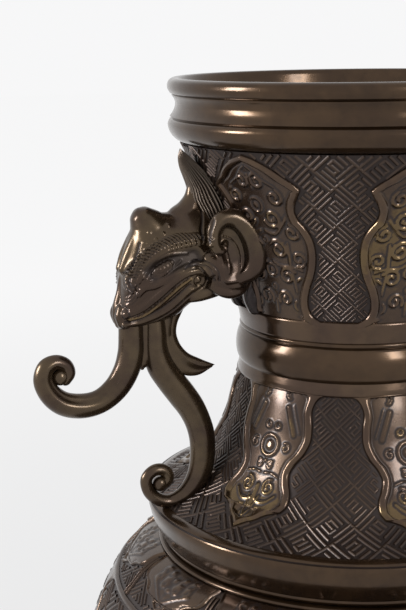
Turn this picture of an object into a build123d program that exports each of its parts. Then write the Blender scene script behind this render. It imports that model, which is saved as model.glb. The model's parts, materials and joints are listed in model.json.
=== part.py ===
from build123d import *
import os
from math import hypot, radians

os.makedirs("parts", exist_ok=True)

# A cast bronze vase with a pair of elephant-head handles.
# Origin at the centre of the foot's underside, +Z up, the handles on the X axis, the front along -Y.
# Each section is a shell turned about Z. The sections stand on each other and the rings hide the joints.

# Driving heights, from the foot up
foot_rim_height = 22.0
foot_height = 100.0
body_height = 144.0
collar_height = 2.4
flange_height = 18.4
lower_neck_height = 63.6
upper_neck_height = 84.6
rim_height = 25.0

# Driving radii of the outer surface
neck_top_radius = 69.8
mouth_overhang = 5.4
neck_radius = 45.6
neck_ring_radius = 48.5
flange_radius = 87.0
flange_foot_radius = 80.4
collar_radius = 82.6
shoulder_radius = 82.0
body_radius = 115.0
waist_radius = 50.0
waist_ring_radius = 54.5
foot_radius = 80.5
foot_rim_overhang = 4.0

# Walls, seats and fits
wall = 3.6
seat_width = 8.0
joint_fit = 0.05
tenon_height = 6.0
spigot_height = 3.0
tenon_wall = 1.7
ring_half_height = 7.6
waist_ring_half_height = 6.5
ring_edge = 0.5
base_plate_thickness = 3.0
base_plate_rise = 6.0
base_ledge = 4.0

# Relief of the four shells
panel_count = 6
panel_turn = 28.0
panel_height = 0.9
band_height = 0.9

# Handles
handle_length = 90.0
handle_gap = 0.2
head_half_width = 15.0
mane_half_width = 10.5
ear_inner_offset = 9.0
ear_outer_offset = 21.0
tube_radius = 5.0
leaf_half_width = 3.6
rivet_radius = 1.8
rivet_proud = 0.8
rivet_end_play = 0.2
rivet_depth = 8.0
slanted_wall_share = 1.6

# Levels and radii that follow from the sizes above
mouth_radius = neck_top_radius + mouth_overhang
foot_rim_radius = foot_radius + foot_rim_overhang
foot_rim_top = foot_rim_height
waist_level = foot_rim_top + foot_height
shoulder_level = waist_level + body_height
collar_top = shoulder_level + collar_height
flange_top = collar_top + flange_height
neck_level = flange_top + lower_neck_height
rim_seat = neck_level + upper_neck_height
mouth_level = rim_seat + rim_height
handle_height = rim_seat - flange_top
seat_bore = flange_foot_radius - seat_width
waist_seat_height = waist_ring_half_height
hole = rivet_radius + joint_fit

# Outlines as shares: of the height from the bottom up, and of the radius from its narrow end to its wide end
flare_linear_share = 0.337
flare_start_share = 0.113
flare_station_shares = (0.2, 0.4, 0.6, 0.8, 1.0)
bell_shares = [
    (0.0, 1.0), (0.03, 0.867), (0.085, 0.674), (0.16, 0.5), (0.239, 0.391), (0.333, 0.3), (0.412, 0.239),
    (0.535, 0.155), (0.663, 0.106), (0.767, 0.06), (0.855, 0.012), (1.0, 0.0),
]
body_low_shares = [(0.065, 0.06), (0.1, 0.19), (0.17, 0.42), (0.26, 0.64), (0.36, 0.82),
                   (0.48, 0.96)]
body_mid_share = 0.6
body_high_shares = [(0.7, 0.935), (0.78, 0.83), (0.845, 0.7), (0.89, 0.575), (0.93, 0.43), (0.965, 0.29),
                    (0.985, 0.165)]
foot_shares = [(0.0, 1.0), (0.08, 0.83), (0.18, 0.66), (0.33, 0.45), (0.48, 0.28), (0.63, 0.15), (0.78, 0.06),
               (0.9, 0.01), (1.0, 0.0)]
# Half an outline of a raised panel: share of the room that a panel has beside its middle, share of the shell's height
upper_panel_shares = [
    (0.7, 0.222), (0.587, 0.244), (0.54, 0.291), (0.58, 0.362), (0.653, 0.421), (0.703, 0.486), (0.72, 0.551),
    (0.697, 0.61), (0.62, 0.663), (0.53, 0.702), (0.51, 0.734), (0.587, 0.801), (0.62, 0.835),
]
lower_panel_shares = [
    (0.967, 0.858), (0.75, 0.836), (0.633, 0.805), (0.61, 0.742), (0.643, 0.648), (0.633, 0.546), (0.55, 0.462),
    (0.42, 0.387), (0.4, 0.357), (0.42, 0.31), (0.48, 0.239), (0.467, 0.182), (0.413, 0.157),
]
belly_panel_shares = [
    (0.82, 0.886), (0.567, 0.872), (0.493, 0.847), (0.487, 0.812), (0.533, 0.764), (0.58, 0.708), (0.567, 0.646),
    (0.5, 0.597), (0.42, 0.562), (0.393, 0.532), (0.42, 0.493), (0.467, 0.451), (0.447, 0.417), (0.38, 0.393),
]
foot_panel_shares = [
    (0.8, 0.09), (0.547, 0.116), (0.493, 0.15), (0.507, 0.2), (0.58, 0.28), (0.653, 0.36), (0.66, 0.43),
    (0.58, 0.5), (0.487, 0.55), (0.46, 0.59), (0.493, 0.64), (0.52, 0.676),
]
# The pointed end of the same panels, from the last point above to the tip
upper_tip_shares = [(0.467, 0.884), (0.267, 0.94), (0.0, 0.986)]
lower_tip_shares = [(0.333, 0.142), (0.183, 0.113), (0.0, 0.058)]
belly_tip_shares = [(0.3, 0.372), (0.213, 0.354), (0.12, 0.326), (0.0, 0.278)]
foot_tip_shares = [(0.433, 0.716), (0.273, 0.766), (0.12, 0.81), (0.0, 0.84)]
# Low and high end of the raised bands, as shares of each shell's height
upper_band_share, body_band_shares = (0.112, 0.22), [(0.24, 0.262), (0.882, 0.897)]
foot_band_shares = [(0.004, 0.096), (0.884, 0.933)]


def place(radius, level):
    """A point of a section's outline, in the plane that is turned about Z."""
    return Vector(radius, 0, level)


def wall_points(outer, depth, low_width, high_width):
    """The inner side of a wall: each outer point moved in square to the outline, between two level ends."""
    low, high = outer[0].Z, outer[-1].Z
    inner = []
    for before, here, after in zip(outer, outer[1:], outer[2:]):
        run = after - before
        length = hypot(run.X, run.Z)
        inner.append(place(here.X - depth * run.Z / length, here.Z + depth * run.X / length))
    inner = [point for point in inner if low + depth / 3 < point.Z < high - depth / 3]
    return [place(outer[0].X - low_width, low)] + inner + [place(outer[-1].X - high_width, high)]


def shell(outer, depth, low_width, high_width):
    """A wall of revolution between a smooth outer outline and its inner side."""
    inner = wall_points(outer, depth, low_width, high_width)
    edges = [
        Spline(*outer),
        Line(outer[-1], inner[-1]),
        Spline(*inner),
        Line(inner[0], outer[0]),
    ]
    return revolve(make_face(edges), Axis.Z)


def turned(points):
    """A solid of revolution of a closed outline of straight lines."""
    return revolve(make_face(Polyline(*points, close=True)), Axis.Z)


def grown(outer, gap):
    """The solid inside an outline that is moved outwards by gap, which a handle is cut with."""
    out = [place(point.X + gap, point.Z) for point in outer]
    edges = [
        Spline(*out),
        Line(out[-1], place(0, out[-1].Z)),
        Line(place(0, out[-1].Z), place(0, out[0].Z)),
        Line(place(0, out[0].Z), out[0]),
    ]
    return revolve(make_face(edges), Axis.Z)


def curve(shares, level, height, small, large):
    """The outline's points from shares of a height and of a span of radii."""
    return [place(small + r * (large - small), level + h * height) for h, r in shares]


# Outlines of the four shells
def flare_point(share):
    """The upper neck widens as a straight taper and a square of the height, added together."""
    spread = flare_linear_share * share + (1 - flare_linear_share) * share**2
    start = neck_level + flare_start_share * upper_neck_height
    return place(neck_radius + spread * (neck_top_radius - neck_radius), start + share * (rim_seat - start))


upper_outline = [place(neck_radius, neck_level), place(neck_radius, flare_point(0).Z)]
upper_outline += [flare_point(share) for share in flare_station_shares]
lower_outline = curve(bell_shares, flange_top, lower_neck_height, neck_radius, flange_radius)
body_outline = [place(waist_radius, waist_level), place(waist_radius, waist_level + waist_seat_height)]
body_outline += curve(body_low_shares, waist_level, body_height, waist_radius, body_radius)
body_outline += [place(body_radius, waist_level + body_mid_share * body_height)]
body_outline += curve(body_high_shares, waist_level, body_height, shoulder_radius, body_radius)
body_outline += [place(shoulder_radius, shoulder_level)]
foot_outline = curve(foot_shares, foot_rim_top, foot_height, waist_radius, foot_radius)


def radius_at(outline, level):
    """The outline's radius at a level, between its two nearest points."""
    for low, high in zip(outline, outline[1:]):
        if low.Z <= level <= high.Z:
            return low.X + (high.X - low.X) * (level - low.Z) / (high.Z - low.Z)
    return outline[-1].X


def relief_sheet(outline, height):
    """The layer that relief is cut from: from the middle of the wall to height over its outer face."""
    return grown(outline, height) - grown(outline, -wall / 2)


def raised_panels(outline, side_shares, tip_shares, height, fit=0.0):
    """The pointed panels round a shell, each as high over it as height and wider by fit all round."""
    low, room = outline[0].Z, outline[-1].Z - outline[0].Z

    def point(share, level_share):
        level = low + level_share * room
        return Vector(0, share * radians(180 / panel_count) * radius_at(outline, level) + (fit if share else 0), level)

    corners = [point(*shares) for shares in side_shares + tip_shares]
    bend = len(side_shares)
    edges = []
    for side in (1, -1):
        half = [Vector(0, side * corner.Y, corner.Z) for corner in corners]
        edges += [Line(half[0], half[1]), Spline(*half[1:bend]), Spline(*half[bend - 1:])]
    edges += [Line(corners[0], half[0])]
    reach = max(p.X for p in outline) + height
    panel = extrude(make_face(edges), amount=reach, dir=(1, 0, 0)) & relief_sheet(outline, height)
    return Compound([Rot(0, 0, panel_turn + 360 * i / panel_count) * panel for i in range(panel_count)])


def raised_band(outline, low_share, high_share, fit=0.0):
    """A smooth band round a shell, between two shares of its height, larger by fit all round."""
    low, room = outline[0].Z, outline[-1].Z - outline[0].Z
    reach = max(p.X for p in outline) + band_height + fit
    slab = tube_ring(0, reach, low + low_share * room - fit, low + high_share * room + fit)
    return relief_sheet(outline, band_height + fit) & slab


def make_mouth_rim():
    """The moulded rim: a rolled lip, a hollow waist and a lower ring, over a tenon of the neck."""
    tenon_radius = neck_top_radius - wall + tenon_wall
    waist_depth = 0.041 * mouth_radius
    lip_inner = mouth_radius - 1.35 * wall
    bore = neck_top_radius - wall
    ring_low = place(neck_top_radius, rim_seat)
    ring_side = place(mouth_radius, rim_seat + 0.29 * rim_height)
    ring_top = place(mouth_radius - waist_depth / 3, rim_seat + 0.38 * rim_height)
    hollow = place(mouth_radius - waist_depth, rim_seat + 0.55 * rim_height)
    lip_low = place(mouth_radius - waist_depth / 2, rim_seat + 0.7 * rim_height)
    lip_side = place(mouth_radius, rim_seat + 0.87 * rim_height)
    lip_top = place((mouth_radius + lip_inner) / 2, mouth_level)
    lip_in = place(lip_inner, rim_seat + 0.87 * rim_height)
    tenon_top = rim_seat + tenon_height + joint_fit
    edges = [
        Line(place(tenon_radius + joint_fit, rim_seat), ring_low),
        Spline(ring_low, ring_side, ring_top),
        Spline(ring_top, hollow, lip_low),
        Spline(lip_low, lip_side, lip_top, lip_in),
        Line(lip_in, place(bore, tenon_top)),
        Line(place(bore, tenon_top), place(tenon_radius + joint_fit, tenon_top)),
        Line(place(tenon_radius + joint_fit, tenon_top), place(tenon_radius + joint_fit, rim_seat)),
    ]
    return revolve(make_face(edges), Axis.Z)


def tube_ring(inner, outer, low, high):
    """A plain short tube."""
    return turned([place(inner, low), place(outer, low), place(outer, high), place(inner, high)])


def make_upper_neck():
    """The flaring upper neck, with the tenon that the rim is pushed onto."""
    bore = neck_top_radius - wall
    tenon = tube_ring(bore, bore + tenon_wall, rim_seat, rim_seat + tenon_height)
    neck = shell(upper_outline, wall, wall, wall) + tenon + raised_band(upper_outline, *upper_band_share)
    neck += raised_panels(upper_outline, upper_panel_shares, upper_tip_shares, panel_height)
    return neck - rivet_shank("mane", hole) - rivet_shank("jaw", hole)


def make_lower_neck():
    """The bell-shaped lower neck, with the spigot that goes down into the flange."""
    outside = seat_bore - joint_fit
    spigot = tube_ring(outside - tenon_wall, outside, flange_top - spigot_height, flange_top + 1.3 * wall)
    neck = shell(lower_outline, wall, seat_width, wall) + spigot
    neck += raised_panels(lower_outline, lower_panel_shares, lower_tip_shares, panel_height)
    return neck - rivet_shank("scroll", hole)


def make_body():
    """The round body, with a seat for the collar and a spigot that locates the collar and the flange."""
    outside = seat_bore - joint_fit
    inside = outside - tenon_wall
    seat = tube_ring(inside, shoulder_radius, shoulder_level - wall, shoulder_level)
    spigot = tube_ring(inside, outside, shoulder_level - wall, collar_top + spigot_height)
    body = shell(body_outline, wall, wall, wall) + seat + spigot
    for share in body_band_shares:
        body += raised_band(body_outline, *share)
    return body + raised_panels(body_outline, belly_panel_shares, belly_tip_shares, panel_height)


def make_foot():
    """The spreading foot, with a seat on its rim and a spigot inside it."""
    outside = foot_radius - wall - base_ledge - joint_fit
    inside = outside - tenon_wall
    seat = tube_ring(inside, foot_radius - wall, foot_rim_top, foot_rim_top + wall)
    spigot = tube_ring(inside, outside, foot_rim_top - spigot_height, foot_rim_top + wall)
    foot = shell(foot_outline, wall, wall, wall) + seat + spigot
    for share in foot_band_shares:
        foot += raised_band(foot_outline, *share)
    return foot + raised_panels(foot_outline, foot_panel_shares, foot_tip_shares, panel_height)


def make_band(radius, level, reach, half_height):
    """A half-round band sleeved over a butt joint of radius."""
    inner = radius + joint_fit
    side = place(reach, level)
    low, high = place(inner + ring_edge, level - half_height), place(inner + ring_edge, level + half_height)
    edges = [
        Line(place(inner, level - half_height), low),
        ThreePointArc(low, side, high),
        Line(high, place(inner, level + half_height)),
        Line(place(inner, level + half_height), place(inner, level - half_height)),
    ]
    return revolve(make_face(edges), Axis.Z)


def make_flange_ring():
    """The plain band under the bell-shaped neck, narrowing down to the collar."""
    inner = seat_bore
    edge_level = collar_top + 0.6 * flange_height
    points = [
        place(inner, collar_top),
        place(flange_foot_radius, collar_top),
        place(0.985 * flange_radius, edge_level),
        place(flange_radius, flange_top),
        place(inner, flange_top),
    ]
    edges = [
        Line(points[0], points[1]),
        Spline(points[1], points[2], points[3]),
        Line(points[3], points[4]),
        Line(points[4], points[0]),
    ]
    return revolve(make_face(edges), Axis.Z)


def make_collar_ring():
    """The thin ring between the flange and the body."""
    inner = seat_bore
    side = place(collar_radius, (shoulder_level + collar_top) / 2)
    low = place(collar_radius - collar_height / 2, shoulder_level)
    high = place(collar_radius - collar_height / 2, collar_top)
    edges = [
        Line(place(inner, shoulder_level), low),
        ThreePointArc(low, side, high),
        Line(high, place(inner, collar_top)),
        Line(place(inner, collar_top), place(inner, shoulder_level)),
    ]
    return revolve(make_face(edges), Axis.Z)


def make_foot_rim():
    """The moulded rim that the vase stands on, with a ledge for the base plate."""
    inner = foot_radius - wall
    ledge = inner - base_ledge
    plate_top = base_plate_rise + base_plate_thickness
    edges = [
        Line(place(inner, 0), place(foot_rim_radius, 0)),
        Line(place(foot_rim_radius, 0), place(foot_rim_radius, 0.3 * foot_rim_height)),
        Spline(
            place(foot_rim_radius, 0.3 * foot_rim_height),
            place(foot_radius, 0.6 * foot_rim_height),
            place(foot_rim_radius - ring_edge, 0.82 * foot_rim_height),
            place(foot_radius, foot_rim_top),
        ),
        Line(place(foot_radius, foot_rim_top), place(ledge, foot_rim_top)),
        Line(place(ledge, foot_rim_top), place(ledge, plate_top)),
        Line(place(ledge, plate_top), place(inner, plate_top)),
        Line(place(inner, plate_top), place(inner, 0)),
    ]
    return revolve(make_face(edges), Axis.Z)


def make_base_plate():
    """The disc let into the foot rim from below, against its ledge."""
    radius = foot_radius - wall - joint_fit
    plate = Cylinder(radius, base_plate_thickness, align=(Align.CENTER, Align.CENTER, Align.MIN))
    return Pos(0, 0, base_plate_rise) * plate


# Handle outlines as shares: outwards from the neck by handle_length, upwards from the flange by handle_height
# Head sections: outward and upward share of the top, the same of the bottom, and the half width's share
head_sections = [
    (0.049, 0.791, 0.071, 0.615, 0.6), (0.105, 0.806, 0.115, 0.612, 0.7), (0.160, 0.818, 0.160, 0.609, 0.8),
    (0.249, 0.848, 0.227, 0.602, 0.93),
    (0.310, 0.841, 0.277, 0.588, 1.0), (0.371, 0.827, 0.321, 0.572, 1.0),
    (0.427, 0.828, 0.360, 0.551, 0.97),
    (0.477, 0.828, 0.404, 0.541, 0.9), (0.527, 0.814, 0.449, 0.535, 0.8), (0.552, 0.776, 0.488, 0.531, 0.7),
    (0.580, 0.740, 0.521, 0.528, 0.63), (0.600, 0.696, 0.554, 0.524, 0.57),
    (0.604, 0.649, 0.582, 0.521, 0.5),
    (0.616, 0.602, 0.608, 0.518, 0.4), (0.630, 0.568, 0.621, 0.521, 0.27),
]
horn_sections = [(0.470, 0.765, 0.45), (0.500, 0.803, 0.30), (0.514, 0.828, 0.19), (0.520, 0.841, 0.10)]
mane_shares = [
    (0.298, 0.985), (0.305, 0.961), (0.293, 0.932), (0.264, 0.889), (0.259, 0.854), (0.230, 0.740),
    (0.180, 0.640), (0.110, 0.592), (0.060, 0.562), (0.030, 0.540), (-0.060, 0.545), (-0.060, 0.700),
    (0.060, 0.850), (0.200, 0.955),
]
ear_shares = [
    (0.252, 0.836), (0.199, 0.844), (0.139, 0.835), (0.079, 0.809), (0.037, 0.765), (0.014, 0.721),
    (0.018, 0.679),
    (0.049, 0.653), (0.087, 0.643), (0.136, 0.614), (0.197, 0.621), (0.233, 0.637), (0.249, 0.676),
    (0.238, 0.724),
    (0.282, 0.764), (0.299, 0.798),
]
ear_swell_shares = [(-1.0, 0.8), (-0.4, 0.96), (0.2, 1.0), (0.7, 0.94), (1.0, 0.8)]
mane_swell_shares = [(-1.0, 0.86), (-0.7, 0.97), (0.0, 1.0), (0.7, 0.97), (1.0, 0.86)]
leaf_swell_shares = [(-1.0, 0.72), (-0.5, 0.92), (0.0, 1.0), (0.5, 0.92), (1.0, 0.72)]
trunk_shares = [
    (0.560, 0.575, 0.74), (0.564, 0.530, 0.80), (0.566, 0.490, 0.86), (0.569, 0.455, 0.92),
    (0.588, 0.410, 0.98), (0.638, 0.363, 1.0),
    (0.710, 0.332, 0.98), (0.799, 0.325, 0.98), (0.874, 0.337, 0.94), (0.930, 0.374, 0.86),
    (0.954, 0.410, 0.76),
    (0.934, 0.443, 0.68), (0.893, 0.452, 0.58), (0.853, 0.440, 0.54), (0.840, 0.418, 0.52),
]
trunk_eye_shares = (0.858, 0.404, 0.54)
arm_shares = [
    (0.460, 0.575, 0.76), (0.465, 0.530, 0.80), (0.467, 0.495, 0.86), (0.463, 0.460, 0.92),
    (0.434, 0.414, 1.04), (0.390, 0.374, 1.12),
    (0.332, 0.327, 1.14), (0.288, 0.287, 1.12), (0.258, 0.247, 1.08), (0.243, 0.205, 1.08),
    (0.238, 0.165, 1.06),
    (0.242, 0.127, 1.04), (0.259, 0.090, 0.98), (0.292, 0.060, 0.84), (0.342, 0.038, 0.70),
    (0.400, 0.028, 0.60),
    (0.458, 0.038, 0.54), (0.498, 0.067, 0.50), (0.502, 0.099, 0.50), (0.463, 0.121, 0.48),
    (0.417, 0.115, 0.50),
    (0.401, 0.092, 0.50),
]
arm_eye_shares = (0.420, 0.078, 0.56)
leaf_shares = [
    (0.352, 0.585), (0.366, 0.530), (0.362, 0.494), (0.341, 0.471), (0.303, 0.444), (0.238, 0.420),
    (0.171, 0.400),
    (0.205, 0.386), (0.246, 0.379), (0.298, 0.378), (0.343, 0.403), (0.387, 0.437), (0.418, 0.470),
    (0.424, 0.530), (0.420, 0.575),
]
rivet_level_shares = {"mane": 0.800, "jaw": 0.602, "scroll": 0.092}


def beside(out_share, up_share, offset=0.0):
    """A point of the handle on +X, offset sideways from its middle plane."""
    return Vector(neck_radius + out_share * handle_length, offset, flange_top + up_share * handle_height)


def slab(shares, swell, half_width, offset=0.0):
    """A body lofted through copies of one outline, drawn in towards its middle at both faces."""
    points = [beside(out, up, offset) for out, up in shares]
    middle = sum(points, Vector(0, 0, 0)) / len(points)
    sections = []
    for side, size in swell:
        ring = [middle + (point - middle) * size + Vector(0, side * half_width, 0) for point in points]
        sections.append(Face(Wire([Spline(*ring, periodic=True)])))
    return loft(sections, ruled=True)


def skull():
    """The head from the neck to the snout: ovals between the top and the bottom outline, and a horn."""
    ovals = []
    for top_out, top_up, low_out, low_up, width in head_sections:
        top, low = beside(top_out, top_up), beside(low_out, low_up)
        rise = top - low
        plane = Plane(origin=(top + low) / 2, x_dir=rise, z_dir=rise.cross(Vector(0, 1, 0)))
        ovals.append(plane * Ellipse(rise.length / 2, width * head_half_width))
    first, last = beside(*horn_sections[0][:2]), beside(*horn_sections[-1][:2])
    rounds = []
    for out, up, size in horn_sections:
        plane = Plane(origin=beside(out, up), x_dir=(0, 1, 0), z_dir=last - first)
        rounds.append(plane * Circle(size * head_half_width))
    return loft(ovals) + loft(rounds)


def tube(stations, eye, gap=0.0):
    """A round bar lofted through circles square to its route, with a ball in the eye of its curl."""
    points = [beside(out, up) for out, up, _ in stations]
    rings = []
    for i, (_, _, size) in enumerate(stations):
        ahead = points[min(i + 1, len(points) - 1)] - points[max(i - 1, 0)]
        plane = Plane(origin=points[i], x_dir=(0, 1, 0), z_dir=ahead)
        rings.append(plane * Circle(size * tube_radius + gap))
    ball = Pos(beside(eye[0], eye[1])) * Sphere(eye[2] * tube_radius + gap)
    return loft(rings) + ball


def rivet_shank(name, radius, end_play=0.0):
    """A rivet along X, from inside the neck's wall into the handle."""
    level = flange_top + rivet_level_shares[name] * handle_height
    side = radius_at(lower_outline if level < neck_level else upper_outline, level)
    start = side - slanted_wall_share * wall - rivet_proud
    align = (Align.CENTER, Align.CENTER, Align.MIN)
    bar = Cylinder(radius, side + rivet_depth + end_play - start, rotation=(0, 90, 0), align=align)
    bar = Pos(start, 0, level) * bar
    return bar + mirror(bar, about=Plane.YZ) if radius == hole and not end_play else bar


def right_handle():
    """The pieces of the handle on +X: head with mane and ears, raised trunk, scroll arm and leaf."""
    trunk = tube(trunk_shares, trunk_eye_shares)
    arm = tube(arm_shares, arm_eye_shares) - tube(trunk_shares, trunk_eye_shares, joint_fit)
    arm_cut = tube(arm_shares, arm_eye_shares, joint_fit)
    leaf = slab(leaf_shares, leaf_swell_shares, leaf_half_width) - arm_cut
    head = skull()
    head += slab(mane_shares, mane_swell_shares, mane_half_width)
    ear_middle = (ear_inner_offset + ear_outer_offset) / 2
    ear_half_width = (ear_outer_offset - ear_inner_offset) / 2
    for side in (-1, 1):
        head += slab(ear_shares, ear_swell_shares, ear_half_width, side * ear_middle)
    for cutter in (tube(trunk_shares, trunk_eye_shares, joint_fit), arm_cut, leaf, envelope):
        head -= cutter
    for name in ("mane", "jaw"):
        head -= rivet_shank(name, hole, rivet_end_play)
    arm = arm - envelope - rivet_shank("scroll", hole, rivet_end_play)
    return {"head": head, "trunk": trunk, "scroll_arm": arm, "leaf": leaf}


envelope = grown(upper_outline, handle_gap) + grown(lower_outline, handle_gap)
neck_ring = make_band(neck_radius, neck_level, neck_ring_radius, ring_half_height)
waist_ring = make_band(waist_radius, waist_level, waist_ring_radius, waist_ring_half_height)
nodes = {
    "mouth_rim": make_mouth_rim(),
    "upper_neck": make_upper_neck(),
    "neck_ring": neck_ring - grown(upper_outline, joint_fit) - grown(lower_outline, joint_fit),
    "lower_neck": make_lower_neck(),
    "flange_ring": make_flange_ring(),
    "collar_ring": make_collar_ring(),
    "body": make_body(),
    "waist_ring": waist_ring - grown(body_outline, joint_fit) - grown(foot_outline, joint_fit),
    "foot": make_foot(),
    "foot_rim": make_foot_rim(),
    "base_plate": make_base_plate(),
}
for name, piece in right_handle().items():
    nodes["right_" + name] = piece
for name in rivet_level_shares:
    nodes["right_" + name + "_rivet"] = rivet_shank(name, rivet_radius)
for name in [name for name in nodes if name.startswith("right_")]:
    nodes["left_" + name.removeprefix("right_")] = mirror(nodes[name], about=Plane.YZ)

# The heads clear the neck's band and its raised panels, which don't mirror
band_room = raised_band(upper_outline, *upper_band_share, handle_gap)
panel_room = raised_panels(upper_outline, upper_panel_shares, upper_tip_shares, panel_height + handle_gap, handle_gap)
for name in ("left_head", "right_head"):
    nodes[name] = nodes[name] - panel_room - band_room

for name, piece in nodes.items():
    export_step(piece, f"parts/{name}.step")
print("pieces", len(nodes), "height", round(mouth_level, 2))
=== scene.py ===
# %% [markdown]
# # A cast bronze vase with elephant-head handles
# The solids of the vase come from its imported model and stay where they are. This lesson dresses
# them: it turns the smooth bands, lays the fret and the raised panels on the shells, shapes the
# two heads with their trunks and scrolls, and gives everything a brown bronze skin.
# Sizes are written in millimetres and become metres only when a mesh is made.

# %% Load the solids
import json
import math
import bpy
import numpy as np
from mathutils import Matrix, Vector

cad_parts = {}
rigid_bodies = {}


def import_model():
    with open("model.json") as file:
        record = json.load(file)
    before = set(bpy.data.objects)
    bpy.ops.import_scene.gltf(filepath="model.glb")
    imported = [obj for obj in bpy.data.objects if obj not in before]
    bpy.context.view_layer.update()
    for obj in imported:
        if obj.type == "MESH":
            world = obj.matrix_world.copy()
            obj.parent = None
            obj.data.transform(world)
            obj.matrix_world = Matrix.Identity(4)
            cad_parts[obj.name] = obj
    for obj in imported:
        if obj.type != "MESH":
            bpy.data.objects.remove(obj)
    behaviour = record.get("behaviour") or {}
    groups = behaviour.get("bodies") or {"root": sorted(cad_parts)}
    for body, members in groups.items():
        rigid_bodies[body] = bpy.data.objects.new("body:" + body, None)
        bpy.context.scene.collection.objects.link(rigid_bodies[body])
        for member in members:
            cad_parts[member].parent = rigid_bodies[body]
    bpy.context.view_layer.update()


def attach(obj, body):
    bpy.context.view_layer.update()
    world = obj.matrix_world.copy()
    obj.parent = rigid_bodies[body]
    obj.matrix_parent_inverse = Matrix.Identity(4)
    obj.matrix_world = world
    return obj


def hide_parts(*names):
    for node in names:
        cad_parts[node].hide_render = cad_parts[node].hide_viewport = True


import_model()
scene = bpy.context.scene

# %% [markdown]
# ## Drawing with curves
# A turned band and a bent tube are both a smooth line first. Each stretch between two points is a
# cubic whose slope at a point comes from the points on either side, so a few points are enough.

# %% A smooth line through points
def flow(points, count, closed=False):
    """Count places, evenly spaced, on the cubic line through the points; slopes come from the neighbours."""
    p = np.array(points, float)
    if closed:
        p = np.vstack([p[-3:], p, p[:3]])
    t = np.r_[0, np.cumsum(np.linalg.norm(np.diff(p[:, :2], axis=0), axis=1))]
    slope = np.gradient(p, t, axis=0)
    lo, hi = (t[3], t[-3]) if closed else (t[0], t[-1])
    fine = np.linspace(lo, hi, 12 * len(p))
    i = np.clip(np.searchsorted(t, fine, "right") - 1, 0, len(t) - 2)
    h = (t[i + 1] - t[i])[:, None]
    x = ((fine - t[i])[:, None]) / h
    line = ((2 * x**3 - 3 * x**2 + 1) * p[i] + (x**3 - 2 * x**2 + x) * h * slope[i]
            + (3 * x**2 - 2 * x**3) * p[i + 1] + (x**3 - x**2) * h * slope[i + 1])
    length = np.r_[0, np.cumsum(np.linalg.norm(np.diff(line[:, :2], axis=0), axis=1))]
    want = np.linspace(0, length[-1], count + 1)[:-1] if closed else np.linspace(0, length[-1], count)
    return np.stack([np.interp(want, length, line[:, k]) for k in range(line.shape[1])], 1)


def smoothstep(x, low, high):
    """0 below low, 1 above high, 3x^2 - 2x^3 between them."""
    x = np.clip((x - low) / (high - low), 0, 1)
    return x * x * (3 - 2 * x)


print("a line of 5 points from 3:", flow([(0, 0), (1, 1), (2, 0)], 5).round(2).tolist())

# %% [markdown]
# ## From arrays to pieces
# A piece is a set of closed shapes. Each shape is an array of points and an array of faces, and
# its signed volume tells whether the faces look outwards: when it is negative, they are turned.

# %% Closed shapes from rings of points
def strip(rows, columns, wrap_rows=False):
    """Quads of a grid that is closed along its columns, and along its rows too when wrap_rows is set."""
    i = np.arange(rows if wrap_rows else rows - 1)[:, None]
    j = np.arange(columns)[None, :]
    a, b = i * columns + j, i * columns + (j + 1) % columns
    up = ((i + 1) % rows) * columns
    return np.stack([a, b, up + (j + 1) % columns, up + j], -1).reshape(-1, 4)


def closed(verts, faces):
    """The shape with its faces looking outwards: the sum of the corner pyramids' volumes is positive."""
    a, b, c, d = (verts[faces[:, k]] for k in range(4))
    volume = np.einsum("ij,ij->i", a, np.cross(b, c)).sum() + np.einsum("ij,ij->i", a, np.cross(c, d)).sum()
    return verts, faces[:, ::-1] if volume < 0 else faces


def skin_over(rings):
    """A closed tube through rings (rows, columns, 3), each end drawn together in its middle point."""
    rows, columns = rings.shape[:2]
    ends = np.stack([rings[0].mean(0), rings[-1].mean(0)])
    verts = np.vstack([rings.reshape(-1, 3), ends])
    j = np.arange(columns)
    k = (j + 1) % columns
    low, high = rows * columns, rows * columns + 1
    last = (rows - 1) * columns
    fan = np.vstack([np.stack([k, j, np.full(columns, low), np.full(columns, low)], 1),
                     np.stack([last + j, last + k, np.full(columns, high), np.full(columns, high)], 1)])
    return closed(verts, np.vstack([strip(rows, columns), fan]))


def turned(loop, columns):
    """A closed outline of (radius, height) carried round the axis: a ring whose grid closes both ways."""
    loop = np.array(loop, float)
    angle = np.linspace(0, 2 * np.pi, columns, endpoint=False)[None, :]
    r, z = loop[:, :1], loop[:, 1:2]
    points = np.stack([-r * np.sin(angle), -r * np.cos(angle), z + 0 * angle], -1)
    return closed(points.reshape(-1, 3), strip(len(loop), columns, wrap_rows=True))


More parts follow.
